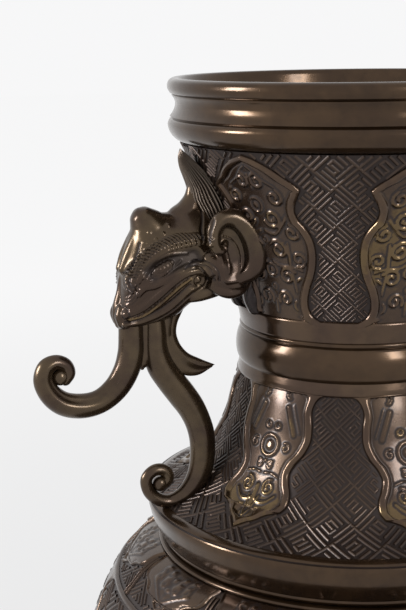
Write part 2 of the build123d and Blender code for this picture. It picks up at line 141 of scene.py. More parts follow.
def make_piece(name, shapes, finish, stands_for=(), marks=None, angle=60):
    """
    Joins the shapes into one mesh in metres. A face whose first or last two corners are the same
    is a triangle. Edges sharper than angle, in degrees, stay crisp.
    """
    shift, verts, corners, sizes = 0, [], [], []
    for v, f in shapes:
        verts.append(v)
        first, last = f[:, 0] == f[:, 1], f[:, 2] == f[:, 3]
        for pick, part in ((~first & ~last, f), (last, f[:, :3]), (first, f[:, 1:])):
            corners.append((part[pick] + shift).reshape(-1))
            sizes.append(np.full(pick.sum(), part.shape[1]))
        shift += len(v)
    verts, corners, sizes = np.vstack(verts), np.concatenate(corners), np.concatenate(sizes)
    mesh = bpy.data.meshes.new(name)
    mesh.vertices.add(len(verts))
    mesh.vertices.foreach_set("co", (verts / 1000).astype(np.float32).ravel())
    mesh.loops.add(len(corners))
    mesh.loops.foreach_set("vertex_index", corners.astype(np.int32))
    mesh.polygons.add(len(sizes))
    mesh.polygons.foreach_set("loop_start", np.r_[0, np.cumsum(sizes)[:-1]].astype(np.int32))
    mesh.update(calc_edges=True)
    mesh.validate()
    for mark, value in (marks or {}).items():
        mesh.attributes.new(mark, "FLOAT", "POINT").data.foreach_set("value", np.asarray(value, np.float32))
    mesh.polygons.foreach_set("use_smooth", np.ones(len(mesh.polygons), bool))
    mesh.set_sharp_from_angle(angle=math.radians(angle))
    piece = bpy.data.objects.new(name, mesh)
    scene.collection.objects.link(piece)
    mesh.materials.append(finish["material"])
    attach(piece, "root")
    if stands_for:
        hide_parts(*stands_for)
    print(name, "triangles", int((sizes - 2).sum()))


print("helpers ready")

# %% [markdown]
# ## Shader arithmetic
# A material is easier to read as a sum than as boxes and wires. One small class wraps a socket, so
# that 1 - mask or 0.3 + 0.2 * grain adds the Math nodes, and one method adds any other node.

# %% A socket that can be added and multiplied
class Wire:
    """A socket of a material; arithmetic on it adds Math nodes, with plain numbers kept as constants."""

    def __init__(self, bench, socket):
        self.bench, self.socket = bench, socket

    def math(self, operation, first, second):
        """A Math node on two wires or numbers."""
        return self.bench.add("ShaderNodeMath", {"operation": operation}, {0: first, 1: second})

    def __add__(self, other):
        return self.math("ADD", self, other)

    def __sub__(self, other):
        return self.math("SUBTRACT", self, other)

    def __rsub__(self, other):
        return self.math("SUBTRACT", other, self)

    def __mul__(self, other):
        return self.math("MULTIPLY", self, other)

    def most(self, other):
        return self.math("MAXIMUM", self, other)

    __radd__, __rmul__ = __add__, __mul__


class Bench:
    """The nodes of one material, or of the world."""

    def __init__(self, block):
        self.block = block
        block.use_nodes = True
        self.tree = block.node_tree
        self.tree.nodes.clear()

    def add(self, kind, settings=None, sockets=None, output=0):
        """A node of that kind, its settings first and then the values or wires of its sockets."""
        node = self.tree.nodes.new(kind)
        for key, value in (settings or {}).items():
            setattr(node, key, value)
        for key, value in (sockets or {}).items():
            socket = node.inputs[key]
            if isinstance(value, Wire):
                self.tree.links.new(value.socket, socket)
            else:
                socket.default_value = (*value, 1) if socket.type == "RGBA" else value
        return Wire(self, node.outputs[output])

    def place(self):
        """Where a point lies, in the object's own coordinates."""
        return self.add("ShaderNodeTexCoord", output="Object")

    def noise(self, place, scale, detail, rough=0.55):
        """Cloudy noise of so many cells to the metre."""
        sockets = {"Vector": place, "Scale": scale, "Detail": detail, "Roughness": rough}
        return self.add("ShaderNodeTexNoise", None, sockets)

    def mark(self, name):
        """A number stored on the mesh's points."""
        return self.add("ShaderNodeAttribute", {"attribute_name": name}, output="Fac")

    def step(self, value, low, high):
        """A soft step: 0 below low and 1 above high."""
        soft = {"interpolation_type": "SMOOTHSTEP"}
        return self.add("ShaderNodeMapRange", soft, {0: value, 1: low, 2: high})

    def tint(self, amount, under, over):
        """Two colours mixed by amount."""
        colours = {0: amount, 6: under, 7: over}
        return self.add("ShaderNodeMix", {"data_type": "RGBA"}, colours, output=2)

    def seen(self):
        """1 for rays from the camera, off metal or through glass, and 0 for light on its way."""
        camera, glossy, clear = (self.add("ShaderNodeLightPath", output=f"Is {kind} Ray")
                                 for kind in ("Camera", "Glossy", "Transmission"))
        return camera.most(glossy).most(clear)

    def finish(self, kind, wire):
        """Joins the last wire to the output node and hands back the material or the world."""
        self.tree.links.new(wire.socket, self.tree.nodes.new(kind).inputs[0])
        return self.block


print("shader helpers ready")

# %% [markdown]
# ## Brown bronze
# Patinated bronze is a dark brown skin, thin enough for the metal to gleam through it. Hands and
# cloths rub it: the high places turn olive and brassy, while hollows keep a dark, duller brown.
# Two marks on the meshes steer this: one darkens sunk ground, creases and the feet of ridges, and
# one turns rubbed relief brassy. That darkening is partly patina and partly painted shade.

# %% The bronze finishes
# The dark brown of sunk ground and creases, partly patina and partly painted shade, and the brass of rubbed
# places.
PATINA_AND_SHADE_BROWN, RUBBED_BRASS = (0.020, 0.0135, 0.0125), (0.145, 0.098, 0.046)
METAL, COAT_ROUGHNESS = 0.8, 0.13


def bronze(name, skin, cloud, slot, rough, grain=0.06, coat=0.22, pits=1.0):
    """
    Skin and cloud colours mixed by slow noise, darkened where the mesh marks sunk ground and
    creases, partly as patina and partly as painted shade, and brassy where worn; grain is the depth
    of the bump in millimetres, and pits is the share of it that small specks cut away.
    """
    b = Bench(bpy.data.materials.new(name))
    place = b.place()
    slow, quick_grain = b.noise(place, 44, 4, 0.6), b.noise(place, 210, 4, 0.6)
    fine, patch = b.noise(place, 900, 2), b.noise(place, 150, 3, 0.7)
    patina_and_shade, worn = b.mark("patina_and_shade"), b.mark("worn")
    colour = b.tint(b.step(slow, 0.38, 0.64), skin, cloud)
    colour = b.tint(b.step(quick_grain, 0.42, 0.75) * 0.35, colour, tuple(c * 0.55 for c in skin))
    # Painted shade and patina: the colour turns dark brown where the mesh marks sunk ground and creases.
    colour = b.tint(patina_and_shade, colour, PATINA_AND_SHADE_BROWN)
    gilt = b.step(worn + (quick_grain - 0.5) * 0.6 + (patch - 0.5) * 1.5, 0.35, 0.75)
    colour = b.tint(gilt * 0.75, colour, RUBBED_BRASS)
    speck = b.step(b.noise(place, 560, 1), 0.70, 0.78) * pits
    height = quick_grain * 0.6 + fine * 0.25 - speck * 0.9
    bump = {"Strength": 1.0, "Distance": grain / 1000, "Height": height}
    surface = b.add("ShaderNodeBsdfPrincipled", None, {
        "Base Color": colour,
        "Metallic": METAL + gilt * 0.35 - patina_and_shade * 0.25,
        "Roughness": rough + (quick_grain - 0.5) * 0.22 + patina_and_shade * 0.22 + (slow - 0.5) * 0.12,
        "Coat Weight": coat - patina_and_shade * 0.2,
        "Coat Roughness": COAT_ROUGHNESS,
        "Normal": b.add("ShaderNodeBump", None, bump),
    })
    return {"material": b.finish("ShaderNodeOutputMaterial", surface), "slot": slot}


SMOOTH = bronze("smooth turned bronze", (0.045, 0.0245, 0.0120), (0.063, 0.0355, 0.0170), "bronze_worn",
                rough=0.20, grain=0.03, pits=0.5)
SHELL = bronze("brown cast bronze", (0.045, 0.0275, 0.0195), (0.060, 0.0375, 0.0245), "bronze_dark",
               rough=0.27, grain=0.07)
HANDLE = bronze("chased handle bronze", (0.048, 0.0280, 0.0180), (0.076, 0.0510, 0.0275), "bronze_handle",
                rough=0.26, grain=0.04, pits=0.6)
PANEL = bronze("rubbed panel bronze", (0.056, 0.0315, 0.0190), (0.078, 0.0465, 0.0255), "bronze_dark",
               rough=0.20, grain=0.04, coat=0.3, pits=0.6)
# The mane's bronze is greyer and much lighter than the handle's; part of that lightness is painted light,
# brightening a mane that the lighting leaves dark.
LIGHTENED_MANE = bronze("combed mane bronze", (0.115, 0.087, 0.066), (0.140, 0.108, 0.082), "bronze_handle",
              rough=0.28, grain=0.04)
PIN = bronze("rivet bronze", (0.05, 0.034, 0.025), (0.06, 0.042, 0.03), "rivet_bronze", rough=0.4)
print("finishes", [f["material"].name for f in (SMOOTH, SHELL, HANDLE, PANEL, LIGHTENED_MANE, PIN)])

# %% [markdown]
# ## The turned bands
# The rim, the ring round the neck, the flange, the collar and the foot's mouldings are smooth
# bands of revolution. Each is one closed outline of radius and height, carried round the axis. The
# narrow grooves between the bands are part of the outline, because they catch a dark line of shade.

# %% Rim, rings and flange
def stroke(count, points):
    """Count places on the smooth line through the points, or the straight line when there are only two."""
    return flow(points, count) if len(points) > 2 else np.array(points, float)


def rounded(*strokes):
    """Closed outline from strokes, each a smooth line; they meet in corners. A stroke is (count, points)."""
    return np.vstack([stroke(count, points) for count, points in strokes])


rim_outline = rounded(
    (2, [(66.2, 434.5), (69.2, 434.5)]),
    (20, [(69.6, 434.7), (71.8, 435.7), (74, 437.8), (75.1, 440.2), (75.3, 442.2), (74.6, 443.7)]),
    (3, [(74, 444), (73.7, 444.3), (74, 444.6)]),
    (24, [(74.4, 444.9), (73.3, 446.4), (72.5, 448.2), (72.2, 450), (72.6, 451.6), (73.5, 453)]),
    (3, [(73.6, 453.3), (73.3, 453.6), (73.7, 453.9)]),
    (26, [(74.3, 454.1), (75.1, 455.4), (75.3, 457.2), (74.7, 458.9), (73.4, 459.8), (72.2, 460), (71, 459.6),
          (70.3, 458.4)]),
    (12, [(70.1, 457.6), (69.2, 453), (67.9, 448), (66.7, 442), (66.1, 436)]),
)
ring_outline = rounded(
    (3, [(45.3, 341.5), (46.1, 341.7), (46.6, 342.3), (46.5, 343)]),
    (3, [(46.2, 343.3), (46, 343.6), (46.3, 343.9)]),
    (24, [(46.8, 344.1), (47.7, 345.6), (48.3, 347.8), (48.5, 350.2), (48.3, 353), (47.7, 355.6),
          (46.9, 357.6)]),
    (3, [(46.5, 357.9), (46.2, 358.2), (46.5, 358.5)]),
    (6, [(46.8, 358.7), (47, 359.3), (46.8, 360), (46.2, 360.4)]),
    (2, [(44.9, 360.4), (44.9, 341.5)]),
)
flange_outline = rounded(
    (2, [(72.6, 268.5), (79.6, 268.5)]),
    (5, [(80.2, 268.6), (80.9, 269.3), (81.3, 270.2)]),
    (3, [(81.2, 270.6), (81.1, 270.9), (81.5, 271.2)]),
    (30, [(82, 271.6), (84, 275.1), (85.4, 278.3), (86.3, 281.6), (86.8, 284.2), (86.7, 285.8), (86, 287),
          (84.6, 287.9), (82.6, 288.4)]),
    (2, [(79, 288.2), (72.6, 287)]),
)
collar_outline = rounded(
    (2, [(72.6, 266.1), (81, 266.1)]),
    (10, [(81.6, 266.2), (82.5, 266.8), (82.7, 267.4), (82.3, 268.1), (81.4, 268.4)]),
    (2, [(80.5, 268.4), (72.6, 268.4)]),
)
WIDE_COLUMNS, RING_COLUMNS = 320, 256


def turned_piece(name, outline, columns):
    """One turned band, which stands for the plain one of the same name."""
    make_piece(name + "_turned", [turned(outline, columns)], SMOOTH, [name], angle=50)


turned_piece("mouth_rim", rim_outline, WIDE_COLUMNS)
turned_piece("neck_ring", ring_outline, RING_COLUMNS)
turned_piece("flange_ring", flange_outline, WIDE_COLUMNS)
turned_piece("collar_ring", collar_outline, RING_COLUMNS)

# %% [markdown]
# ## The decorated shells
# Each decorated shell is a smooth skin of revolution. Ornament is laid on it by angle and by
# height, so the skin is kept as a small object that can place any point: the foot of the point on
# the outline, plus a lift square to the surface.

# %% A skin that ornament can be laid on
class Skin:
    """
    An outline of (radius, height) from the bottom up, with its length s, its normals, and the
    height as an angle (turns), which is the sum of each step of length over its radius.
    """

    def __init__(self, points):
        line = flow(points, 1200)
        step = np.gradient(line, axis=0)
        size = np.linalg.norm(step, axis=1, keepdims=True)
        self.r, self.z = line[:, 0], line[:, 1]
        self.out, self.up = step[:, 1] / size[:, 0], -step[:, 0] / size[:, 0]
        self.s = np.r_[0, np.cumsum(np.linalg.norm(np.diff(line, axis=0), axis=1))]
        self.turns = np.r_[0, np.cumsum(np.diff(self.s) / ((self.r[1:] + self.r[:-1]) / 2))]

    def along(self, z):
        """Length along the outline at a height."""
        return np.interp(z, self.z, self.s)

    def place(self, degrees, s, lift):
        """The point at that angle and length, lifted square to the surface by lift."""
        r, z = np.interp(s, self.s, self.r), np.interp(s, self.s, self.z)
        out, up = np.interp(s, self.s, self.out), np.interp(s, self.s, self.up)
        a = np.radians(degrees)
        reach = r + lift * out
        return np.stack(np.broadcast_arrays(-reach * np.sin(a), -reach * np.cos(a), z + lift * up), -1)


WALL_COLUMNS, WALL_SINK = 240, 0.12


def shell(skin, thickness, rows):
    """The turned wall under the ornament: the skin sunk a little outside, and moved in by thickness inside."""
    s = np.linspace(0, skin.s[-1], rows)
    outer = skin.place(0 * s, s, -WALL_SINK)
    inner = skin.place(0 * s[::4], s[::4], -thickness)
    low, high = skin.z[0], skin.z[-1]
    loop = np.vstack([np.stack([-outer[:, 1], outer[:, 2]], 1), np.stack([-inner[::-1, 1], inner[::-1, 2]], 1)])
    loop[:, 1] = np.clip(loop[:, 1], low, high)
    return turned(loop, WALL_COLUMNS)


upper_skin = Skin([(45.6, 350.6), (45.6, 355), (45.7, 360), (47.2, 370), (49.3, 380), (51.9, 390), (55.1, 400),
                   (58.9, 410), (63.2, 420), (68.1, 430), (69.9, 433.6), (70.4, 434.6)])
lower_skin = Skin([(87, 286.8), (84, 287.8), (81.5, 288.7), (77.5, 290.3), (73.5, 292.2), (69.8, 294.4),
                   (66.3, 297), (61.8, 302), (58, 308), (55.5, 313), (52.2, 320.8), (50, 329), (48.2, 335.6),
                   (46.4, 341.2), (45.8, 344), (45.6, 350.2)])
print("upper skin length", round(upper_skin.s[-1], 1), "lower skin length", round(lower_skin.s[-1], 1))

# %% [markdown]
# ## Relief drawn with strokes
# The small scrolls, rings and leaves inside a panel are strokes of a rounded tool. Each stroke is
# a line with a width and a height, and the relief at a point is the highest stroke above it.

# %% Strokes, curls and rings
def to_line(px, py, line):
    """Distance from each point to a broken line, the length along the line there, and the side it lies on."""
    best, along, side, done = np.full(px.shape, 1e9), np.zeros(px.shape), np.zeros(px.shape), 0.0
    for (x0, y0), (x1, y1) in zip(line[:-1, :2], line[1:, :2]):
        dx, dy = x1 - x0, y1 - y0
        size = math.hypot(dx, dy) + 1e-9
        t = np.clip(((px - x0) * dx + (py - y0) * dy) / size**2, 0, 1)
        ex, ey = px - x0 - t * dx, py - y0 - t * dy
        gap = np.hypot(ex, ey)
        near = gap < best
        best = np.where(near, gap, best)
        along = np.where(near, done + t * size, along)
        side = np.where(near, np.sign(dx * ey - dy * ex), side)
        done += size
    return best, along, side


def curl(x, y, size, start, turns):
    """A spiral: the radius shrinks evenly from size to a fifth of it while the angle turns."""
    t = np.linspace(0, 1, 16)
    a = math.radians(start) + 2 * np.pi * turns * t
    r = size * (1 - 0.78 * t)
    return np.stack([x + r * np.cos(a), y + r * np.sin(a)], 1)


def ring(x, y, size, start=0, sweep=360):
    """A circle of that radius; start and sweep, in degrees, make it an arc."""
    a = np.radians(np.linspace(start, start + sweep, 14))
    return np.stack([x + size * np.cos(a), y + size * np.sin(a)], 1)


def curls(*rows):
    """Curl strokes from rows of (x, y, size, start, turns, width, height)."""
    return [(curl(*row[:5]), *row[5:]) for row in rows]


def lines(*rows):
    """Line strokes from rows of (width, height, count, points)."""
    return [(stroke(count, points), width, height) for width, height, count, points in rows]


def rings(*rows):
    """Ring strokes from rows of (x, y, size, width, height), with start and sweep for an arc."""
    return [(ring(x, y, size, *arc), width, height) for x, y, size, width, height, *arc in rows]


def both(strokes):
    """The strokes and their mirror images across the middle line."""
    return strokes + [(line * (-1, 1), width, height) for line, width, height in strokes]


def relief(px, py, strokes):
    """Height of the highest stroke at each point: level in its middle third and rounded down to its width."""
    lift = np.zeros(px.shape)
    for line, width, height in strokes:
        reach = np.ptp(line[:, :2], axis=0) / 2 + width + 1
        near = (np.abs(px - line[:, 0].mean()) < reach[0]) & (np.abs(py - line[:, 1].mean()) < reach[1])
        gap = to_line(px[near], py[near], line)[0]
        lift[near] = np.maximum(lift[near], height * (1 - smoothstep(gap, 0.3 * width, width)))
    return lift


upper_strokes = both(curls(
    (3.6, 424, 3.1, 100, 1.3, 0.85, 0.75), (9.2, 418, 3.3, 60, -1.3, 0.85, 0.75),
    (5.8, 409.7, 3.8, 200, 1.4, 0.95, 0.85), (12.4, 404.3, 3.3, 90, -1.3, 0.85, 0.75),
    (5.2, 397.2, 4, 150, -1.4, 0.95, 0.85), (13, 393.8, 3.3, 250, 1.3, 0.85, 0.75),
    (7, 386.6, 3.6, 30, 1.3, 0.9, 0.8), (13, 384, 2.4, 160, -1.2, 0.75, 0.65),
    (4.4, 377.2, 3.3, 210, -1.3, 0.85, 0.75), (10.2, 374.4, 2.6, 80, 1.1, 0.75, 0.65),
) + lines(
    (0.8, 0.6, 8, [(1, 404.5), (4.5, 403.2), (9.5, 407.5), (12.6, 411.5)]),
    (0.7, 0.5, 8, [(9.6, 399.8), (9, 391.5), (9.9, 380)]),
    (0.7, 0.5, 8, [(1.5, 392.2), (3.2, 391), (10.5, 390.2), (16, 388.4)]),
    (0.45, 0.35, 8, [(0.6, 429.5), (2.4, 428.2), (6.6, 424.2), (10.4, 422)]),
)) + lines(
    (0.6, 0.5, 2, [(0, 426.5), (0, 421)]), (0.6, 0.5, 2, [(0, 376.5), (0, 371.5)]),
) + rings(
    (0, 414.6, 2.7, 0.7, 0.55), (0, 414.6, 0.3, 1.3, 0.6), (0, 388.6, 2.4, 0.65, 0.55),
    (0, 388.6, 0.2, 1.1, 0.6), (0, 400.8, 1, 0.55, 0.5), (0, 381.6, 0.9, 0.5, 0.45),
)
lower_strokes = both(curls(
    (7.4, 318, 2, 120, -1.2, 0.6, 0.5), (2.6, 311, 1.7, 60, 1.2, 0.55, 0.5),
    (5, 303.4, 2.9, 80, 1.5, 0.7, 0.6),
) + lines(
    (1.25, 0.6, 2, [(5.6, 333.6), (9.6, 323.4)]), (0.4, 0.3, 2, [(7.9, 334.6), (12, 324.4)]),
    (0.7, 0.5, 8, [(0.4, 299.6), (2.8, 298.4), (5.8, 298.6), (9, 301)]),
    (0.5, 0.4, 6, [(0.8, 308), (3.4, 308.4), (7.6, 307.4)]),
) + rings(
    (6.4, 338.4, 2.1, 0.62, 0.6, 115, 130), (7.6, 338.4, 2.1, 0.45, 0.4, 125, 110),
    (2.2, 325.8, 1.25, 0.62, 0.55),
)) + lines(
    (1.2, 0.55, 2, [(0, 303.5), (0, 297)]), (0.6, 0.45, 9, [(-2.4, 300), (0, 293.6), (2.4, 300)]),
) + rings(
    (0, 318.2, 3.9, 0.95, 0.6), (0, 318.2, 0.7, 1.7, 0.65), (0, 312.4, 0.2, 0.8, 0.5),
)
print("strokes", len(upper_strokes), len(lower_strokes))

# %% [markdown]
# ## The raised panels
# Six pointed panels stand round the upper neck and six hang round the lower one. A panel is a grid
# between its left and right edge. A smooth border rises at the edge, a groove follows it inside,
# and the strokes lie on the field. The back of the panel is sunk in the shell, so it is closed.

# %% Panels on a skin
FIELD, HIDDEN_COLUMNS = 0.45, 12  # lift of a panel's field, and columns of its sunk back


class Panel:
    """
    Half width in degrees against height. The edge is smooth in strokes that meet in corners, and
    its rows are evenly spaced along it.
    """

    def __init__(self, skin, strokes, rows):
        edge = np.vstack([flow(points, 60) for points in strokes])
        s = skin.along(edge[:, 1])
        r = np.interp(s, skin.s, skin.r)
        length = np.r_[0, np.cumsum(np.hypot(np.diff(np.radians(edge[:, 0]) * r), np.diff(s)))]
        length += np.arange(len(length)) * 1e-6
        want = np.linspace(0, length[-1], rows)
        self.skin, self.w, self.s = skin, np.interp(want, length, edge[:, 0]), np.interp(want, length, s)
        self.r = np.interp(self.s, skin.s, skin.r)
        self.z = np.interp(self.s, skin.s, skin.z)
        half = np.radians(self.w) * self.r
        slope = np.gradient(half) / (np.gradient(self.s) + np.where(np.gradient(self.s) < 0, -1e-6, 1e-6))
        self.lean = np.sqrt(1 + np.clip(slope, -12, 12) ** 2)
        order = np.argsort(self.s)
        self.sorted_s, self.sorted_w = self.s[order], self.w[order]

    def half_width(self, s):
        """Half width in degrees at a length on the skin, 0 above and below the panel."""
        return np.interp(s, self.sorted_s, self.sorted_w, left=0, right=0)

    def shape(self, centre, columns, border, strokes, gilt):
        """
        Points, faces and marks of one panel. A point is lifted by the border, which goes by the
        distance from the edge, plus the highest stroke.
        """
        u = np.linspace(-1, 1, columns)
        u = (0.45 * u + 0.55 * np.sin(np.pi / 2 * u))[None, :]
        degrees = self.w[:, None] * u
        x = np.radians(degrees) * self.r[:, None]
        z = np.repeat(self.z[:, None], columns, 1)
        gap = np.radians(self.w[:, None] * (1 - np.abs(u))) * self.r[:, None] / self.lean[:, None]
        inside = smoothstep(gap, border[-2][0], border[-1][0] + 0.5)
        rim = np.interp(gap, [g for g, _ in border], [h for _, h in border])
        marks = relief(x, z, strokes) * inside
        moat = relief(x, z, [(line, width + 0.9, 1) for line, width, _ in strokes]) * inside
        lift = rim + marks
        front = self.skin.place(centre + degrees, self.s[:, None], lift)
        under = np.linspace(1, -1, HIDDEN_COLUMNS + 2)[1:-1][None, :]
        hidden = self.skin.place(centre + self.w[:, None] * under, self.s[:, None], -1.2)
        verts, faces = skin_over(np.concatenate([front, hidden], 1))
        # Dark brown is marked on the low field, at the outer foot of the border and in a ring round the foot of
        # each stroke: partly patina, partly painted shade.
        sunk = smoothstep(moat, 0.1, 0.5) * (1 - smoothstep(marks, 0.1, 0.4))
        patina_and_shade = np.clip((FIELD + 0.12 - lift) * 2.2, 0, 1) * (gap > 0.5) + (gap < 0.25) * 0.6
        patina_and_shade = np.clip(patina_and_shade + 0.75 * sunk, 0, 1)
        worn = np.clip(marks * 0.5, 0, 0.25) + np.clip(gap, 0, 1) * 0.1
        if gilt is not None:
            worn = worn + gilt(x, z) * (0.6 + 0.4 * inside) * (1 - sunk)
        extra = np.zeros((len(self.w), HIDDEN_COLUMNS))
        pack = lambda m: np.r_[np.concatenate([m, extra], 1).ravel(), 0, 0]
        return verts, faces, pack(patina_and_shade), pack(worn)


WINDOW = 32  # degrees from the front, towards the left handle, to the middle of a fret window
panel_middles = [WINDOW + 30 + 60 * k for k in range(6)]


def panel_piece(name, panel, centres, columns, border, strokes, gilt=None):
    """One piece of several equal panels; gilt gives the brassy wear of the panel at an angle."""
    made = [panel.shape(c, columns, border, strokes, gilt(c) if gilt else None) for c in centres]
    marks = {"patina_and_shade": np.concatenate([m[2] for m in made]), "worn": np.concatenate([m[3] for m in made])}
    make_piece(name, [m[:2] for m in made], PANEL, marks=marks)


def six_panels(name, panel, columns, border, strokes, gilt=None):
    """Six panels round a skin, three in each of two pieces, which keeps a piece small."""
    for half, centres in (("left", panel_middles[:3]), ("right", panel_middles[3:])):
        panel_piece(f"{name}_{half}", panel, centres, columns, border, strokes, gilt)


upper_panel = Panel(upper_skin, [
    [(24.5, 367.6), (21, 369.2), (17.8, 371), (16.3, 373.6), (16.2, 377), (17.5, 381.4), (19.7, 386.4),
     (21.2, 391.6), (21.6, 396.8), (20.8, 402), (18.5, 406.6), (16, 409.8), (15.3, 412.6), (16.1, 415.6),
     (17.5, 418.4), (18.7, 421)],
    [(18.6, 421.4), (16.6, 423.4), (14, 425.4), (8.2, 430), (3.4, 432.7), (0.02, 433.9)],
], rows=150)
lower_panel = Panel(lower_skin, [
    [(29.6, 339.8), (27, 339.6), (23.4, 339), (20.2, 337), (18.6, 333.4), (19.2, 328.2), (19, 321.6),
     (16.4, 316.2), (13, 311.8), (12, 309.4), (12.6, 306.4), (14.3, 302.2), (14.2, 298.6), (12.6, 296.6)],
    [(12.5, 296.5), (10, 295.9), (7.4, 294.9), (5.4, 293.6), (2.6, 292.4), (0.02, 290.9)],
], rows=150)
NECK_BORDER = [(0, -0.7), (0.25, 0.5), (0.7, 1.1), (1.4, 1.4), (2.2, 1.42), (2.8, 1.25), (3.3, 0.75),
               (3.6, 0.3), (3.9, 0.2), (4.4, 0.45)]


def upper_gilt(centre):
    """Brassy wear on the panel in the middle of the front: a soft patch at mid height."""
    amount = 0.72 if abs((centre - 2) % 360) < 1 else 0.06
    return lambda x, z: amount * smoothstep(z, 376, 390) * (1 - smoothstep(z, 404, 424))


def lower_gilt(centre):
    """Brassy wear on the pointed foot of every panel, whatever its angle."""
    return lambda x, z: 0.7 * (1 - smoothstep(z + 0.25 * np.abs(x), 302, 308))


six_panels("upper_panels", upper_panel, 84, NECK_BORDER, upper_strokes, upper_gilt)
six_panels("lower_panels", lower_panel, 84, NECK_BORDER, lower_strokes, lower_gilt)

# %% [markdown]
# ## The fret ground
# The ground between the panels is a fret of key lines, turned by 45 degrees. It repeats every six
# units: a small square meander at each crossing, and planks of three lines between them that run
# flat and upright by turns. Each unit of line is one small ridge with a rounded top. Height is
# counted in the same angle as width, so that the squares of the fret stay square as the neck widens.

# %% Ridges of the fret
RIDGE_OVERLAP = 0.17  # a ridge runs past its unit at both ends by this share of it
RIDGE_ACROSS, RIDGE_RISE = np.array([-0.35, -0.20, 0.0, 0.20, 0.35]), np.array([-0.5, 0.72, 1.0, 0.72, -0.5])


def plank(length_ways):
    """Unit steps of one plank of three lines, as (start, step) pairs; upright planks swap the axes."""
    steps = [(c, 0) for c in range(-5, 5)]
    steps += [(c, 1) for c in range(-4, 0)] + [(c, 1) for c in range(1, 4)]
    steps += [(c, -1) for c in range(-4, -1)] + [(c, -1) for c in range(0, 4)]
    start = np.array(steps, float)
    step = np.tile([1.0, 0.0], (len(start), 1))
    hooks = np.array([(0.0, 0.0), (0.0, -1.0)])
    start, step = np.vstack([start, hooks]), np.vstack([step, [(0.0, 1.0), (0.0, 1.0)]])
    return (start, step) if length_ways else (start[:, ::-1], step[:, ::-1])


def meander(upright):
    """Eight unit steps of a square S: three bars of two units, joined at one end and then at the other."""
    corners = np.array([(1, -1), (0, -1), (-1, -1), (-1, 0), (0, 0), (1, 0), (1, 1), (0, 1), (-1, 1)], float)
    corners = corners[:, ::-1] if upright else corners
    return corners[:-1], np.diff(corners, axis=0)


def fret(skin, keep, repeats, height, low, high):
    """
    All unit ridges of the fret between two heights of a skin that lie where keep(degrees, s) is
    true, as one array of small prisms. One unit is a twelfth of a repeat.
    """
    degree = 360 / repeats / 12
    low, high = skin.along(low), skin.along(high)
    first = int(np.degrees(np.interp(low, skin.s, skin.turns)) / degree / 6) - 1
    last = int(np.degrees(np.interp(high, skin.s, skin.turns)) / degree / 6) + 2
    starts, steps = [], []
    m, n = np.meshgrid(np.arange(2 * repeats), np.arange(first, last))
    m, n = m[(m + n) % 2 == 0], n[(m + n) % 2 == 0]
    i, j = (m + n) // 2, (n - m) // 2
    for odd in (0, 1):
        pick = n % 2 == odd
        for centre, (start, step) in ((3, plank(odd == 0)), (0, meander(odd == 1))):
            at = np.stack([6 * i[pick] + centre, 6 * j[pick] + centre], 1)[:, None, :]
            starts.append((at + start[None]).reshape(-1, 2))
            steps.append(np.tile(step, (pick.sum(), 1)))
    start, step = np.vstack(starts), np.vstack(steps)
    start, end = start - RIDGE_OVERLAP * step, start + (1 + RIDGE_OVERLAP) * step
    place = lambda p: ((p[:, 0] - p[:, 1]) * degree + WINDOW,
                       np.interp(np.radians((p[:, 0] + p[:, 1]) * degree), skin.turns, skin.s))
    (a0, s0), (a1, s1) = place(start), place(end)
    inside = keep(a0, s0) & keep(a1, s1) & (np.minimum(s0, s1) > low + 0.2) & (np.maximum(s0, s1) < high - 0.2)
    a0, s0, a1, s1 = a0[inside], s0[inside], a1[inside], s1[inside]
    p0, p1 = skin.place(a0, s0, 0), skin.place(a1, s1, 0)
    up = skin.place((a0 + a1) / 2, (s0 + s1) / 2, 1) - skin.place((a0 + a1) / 2, (s0 + s1) / 2, 0)
    side = np.cross(up, p1 - p0)
    side /= np.linalg.norm(side, axis=1, keepdims=True)
    unit = np.linalg.norm(p1 - p0, axis=1)[:, None, None] / (1 + 2 * RIDGE_OVERLAP)
    across, rise = RIDGE_ACROSS[None, :, None], RIDGE_RISE[None, :, None]
    section = unit * across * side[:, None, :] + height * rise * up[:, None, :]
    verts = np.concatenate([p0[:, None] + section, p1[:, None] + section], 1)
    one = np.array([(0, 1, 6, 5), (1, 2, 7, 6), (2, 3, 8, 7), (3, 4, 9, 8), (4, 0, 5, 9), (0, 4, 3, 1),
                    (1, 3, 2, 2), (5, 6, 8, 9), (6, 7, 8, 8)])
    faces = (one[None] + 10 * np.arange(len(verts))[:, None, None]).reshape(-1, 4)
    return closed(verts.reshape(-1, 3), faces)


def outside_panels(panel, margin):
    """True where the nearest panel's middle is further away than its half width plus a margin in mm."""
    def keep(degrees, s):
        away = np.abs((degrees - WINDOW) % 60 - 30)
        r = np.interp(s, panel.skin.s, panel.skin.r)
        return away > panel.half_width(s) + np.degrees(margin / r) * (panel.half_width(s) > 0)
    return keep


def fret_piece(name, skin, keep, repeats, height, low, high):
    """The fret as one piece, dark along the foot of every ridge, partly as patina and partly as painted shade,
    and a little rubbed.
    """
    ridges = fret(skin, keep, repeats, height, low, high)
    count = len(ridges[0])
    # The foot of each ridge is marked dark and its top clear: partly patina, partly painted shade.
    marks = {"worn": np.full(count, 0.12), "patina_and_shade": np.tile([0.9, 0.15, 0, 0.15, 0.9], count // 5)}
    make_piece(name, [ridges], SHELL, marks=marks, angle=50)


fret_piece("upper_fret", upper_skin, outside_panels(upper_panel, 0.35), repeats=24, height=0.36, low=368.6,
           high=434.4)
fret_piece("lower_fret", lower_skin, outside_panels(lower_panel, 0.35), repeats=24, height=0.36, low=288.2,
           high=341)

# %% [markdown]
# ## The walls under the ornament
# The neck's walls are turned from the same skins, sunk by a tenth of a millimetre, and marked dark
# brown, partly as patina and partly as painted shade under the ornament. A smooth raised band lies
# on either side of the ring, where the panels end.

# %% Neck walls
WALL_PATINA_AND_SHADE = 0.85  # how strongly a wall under ornament is marked dark brown, partly patina and partly painted shade


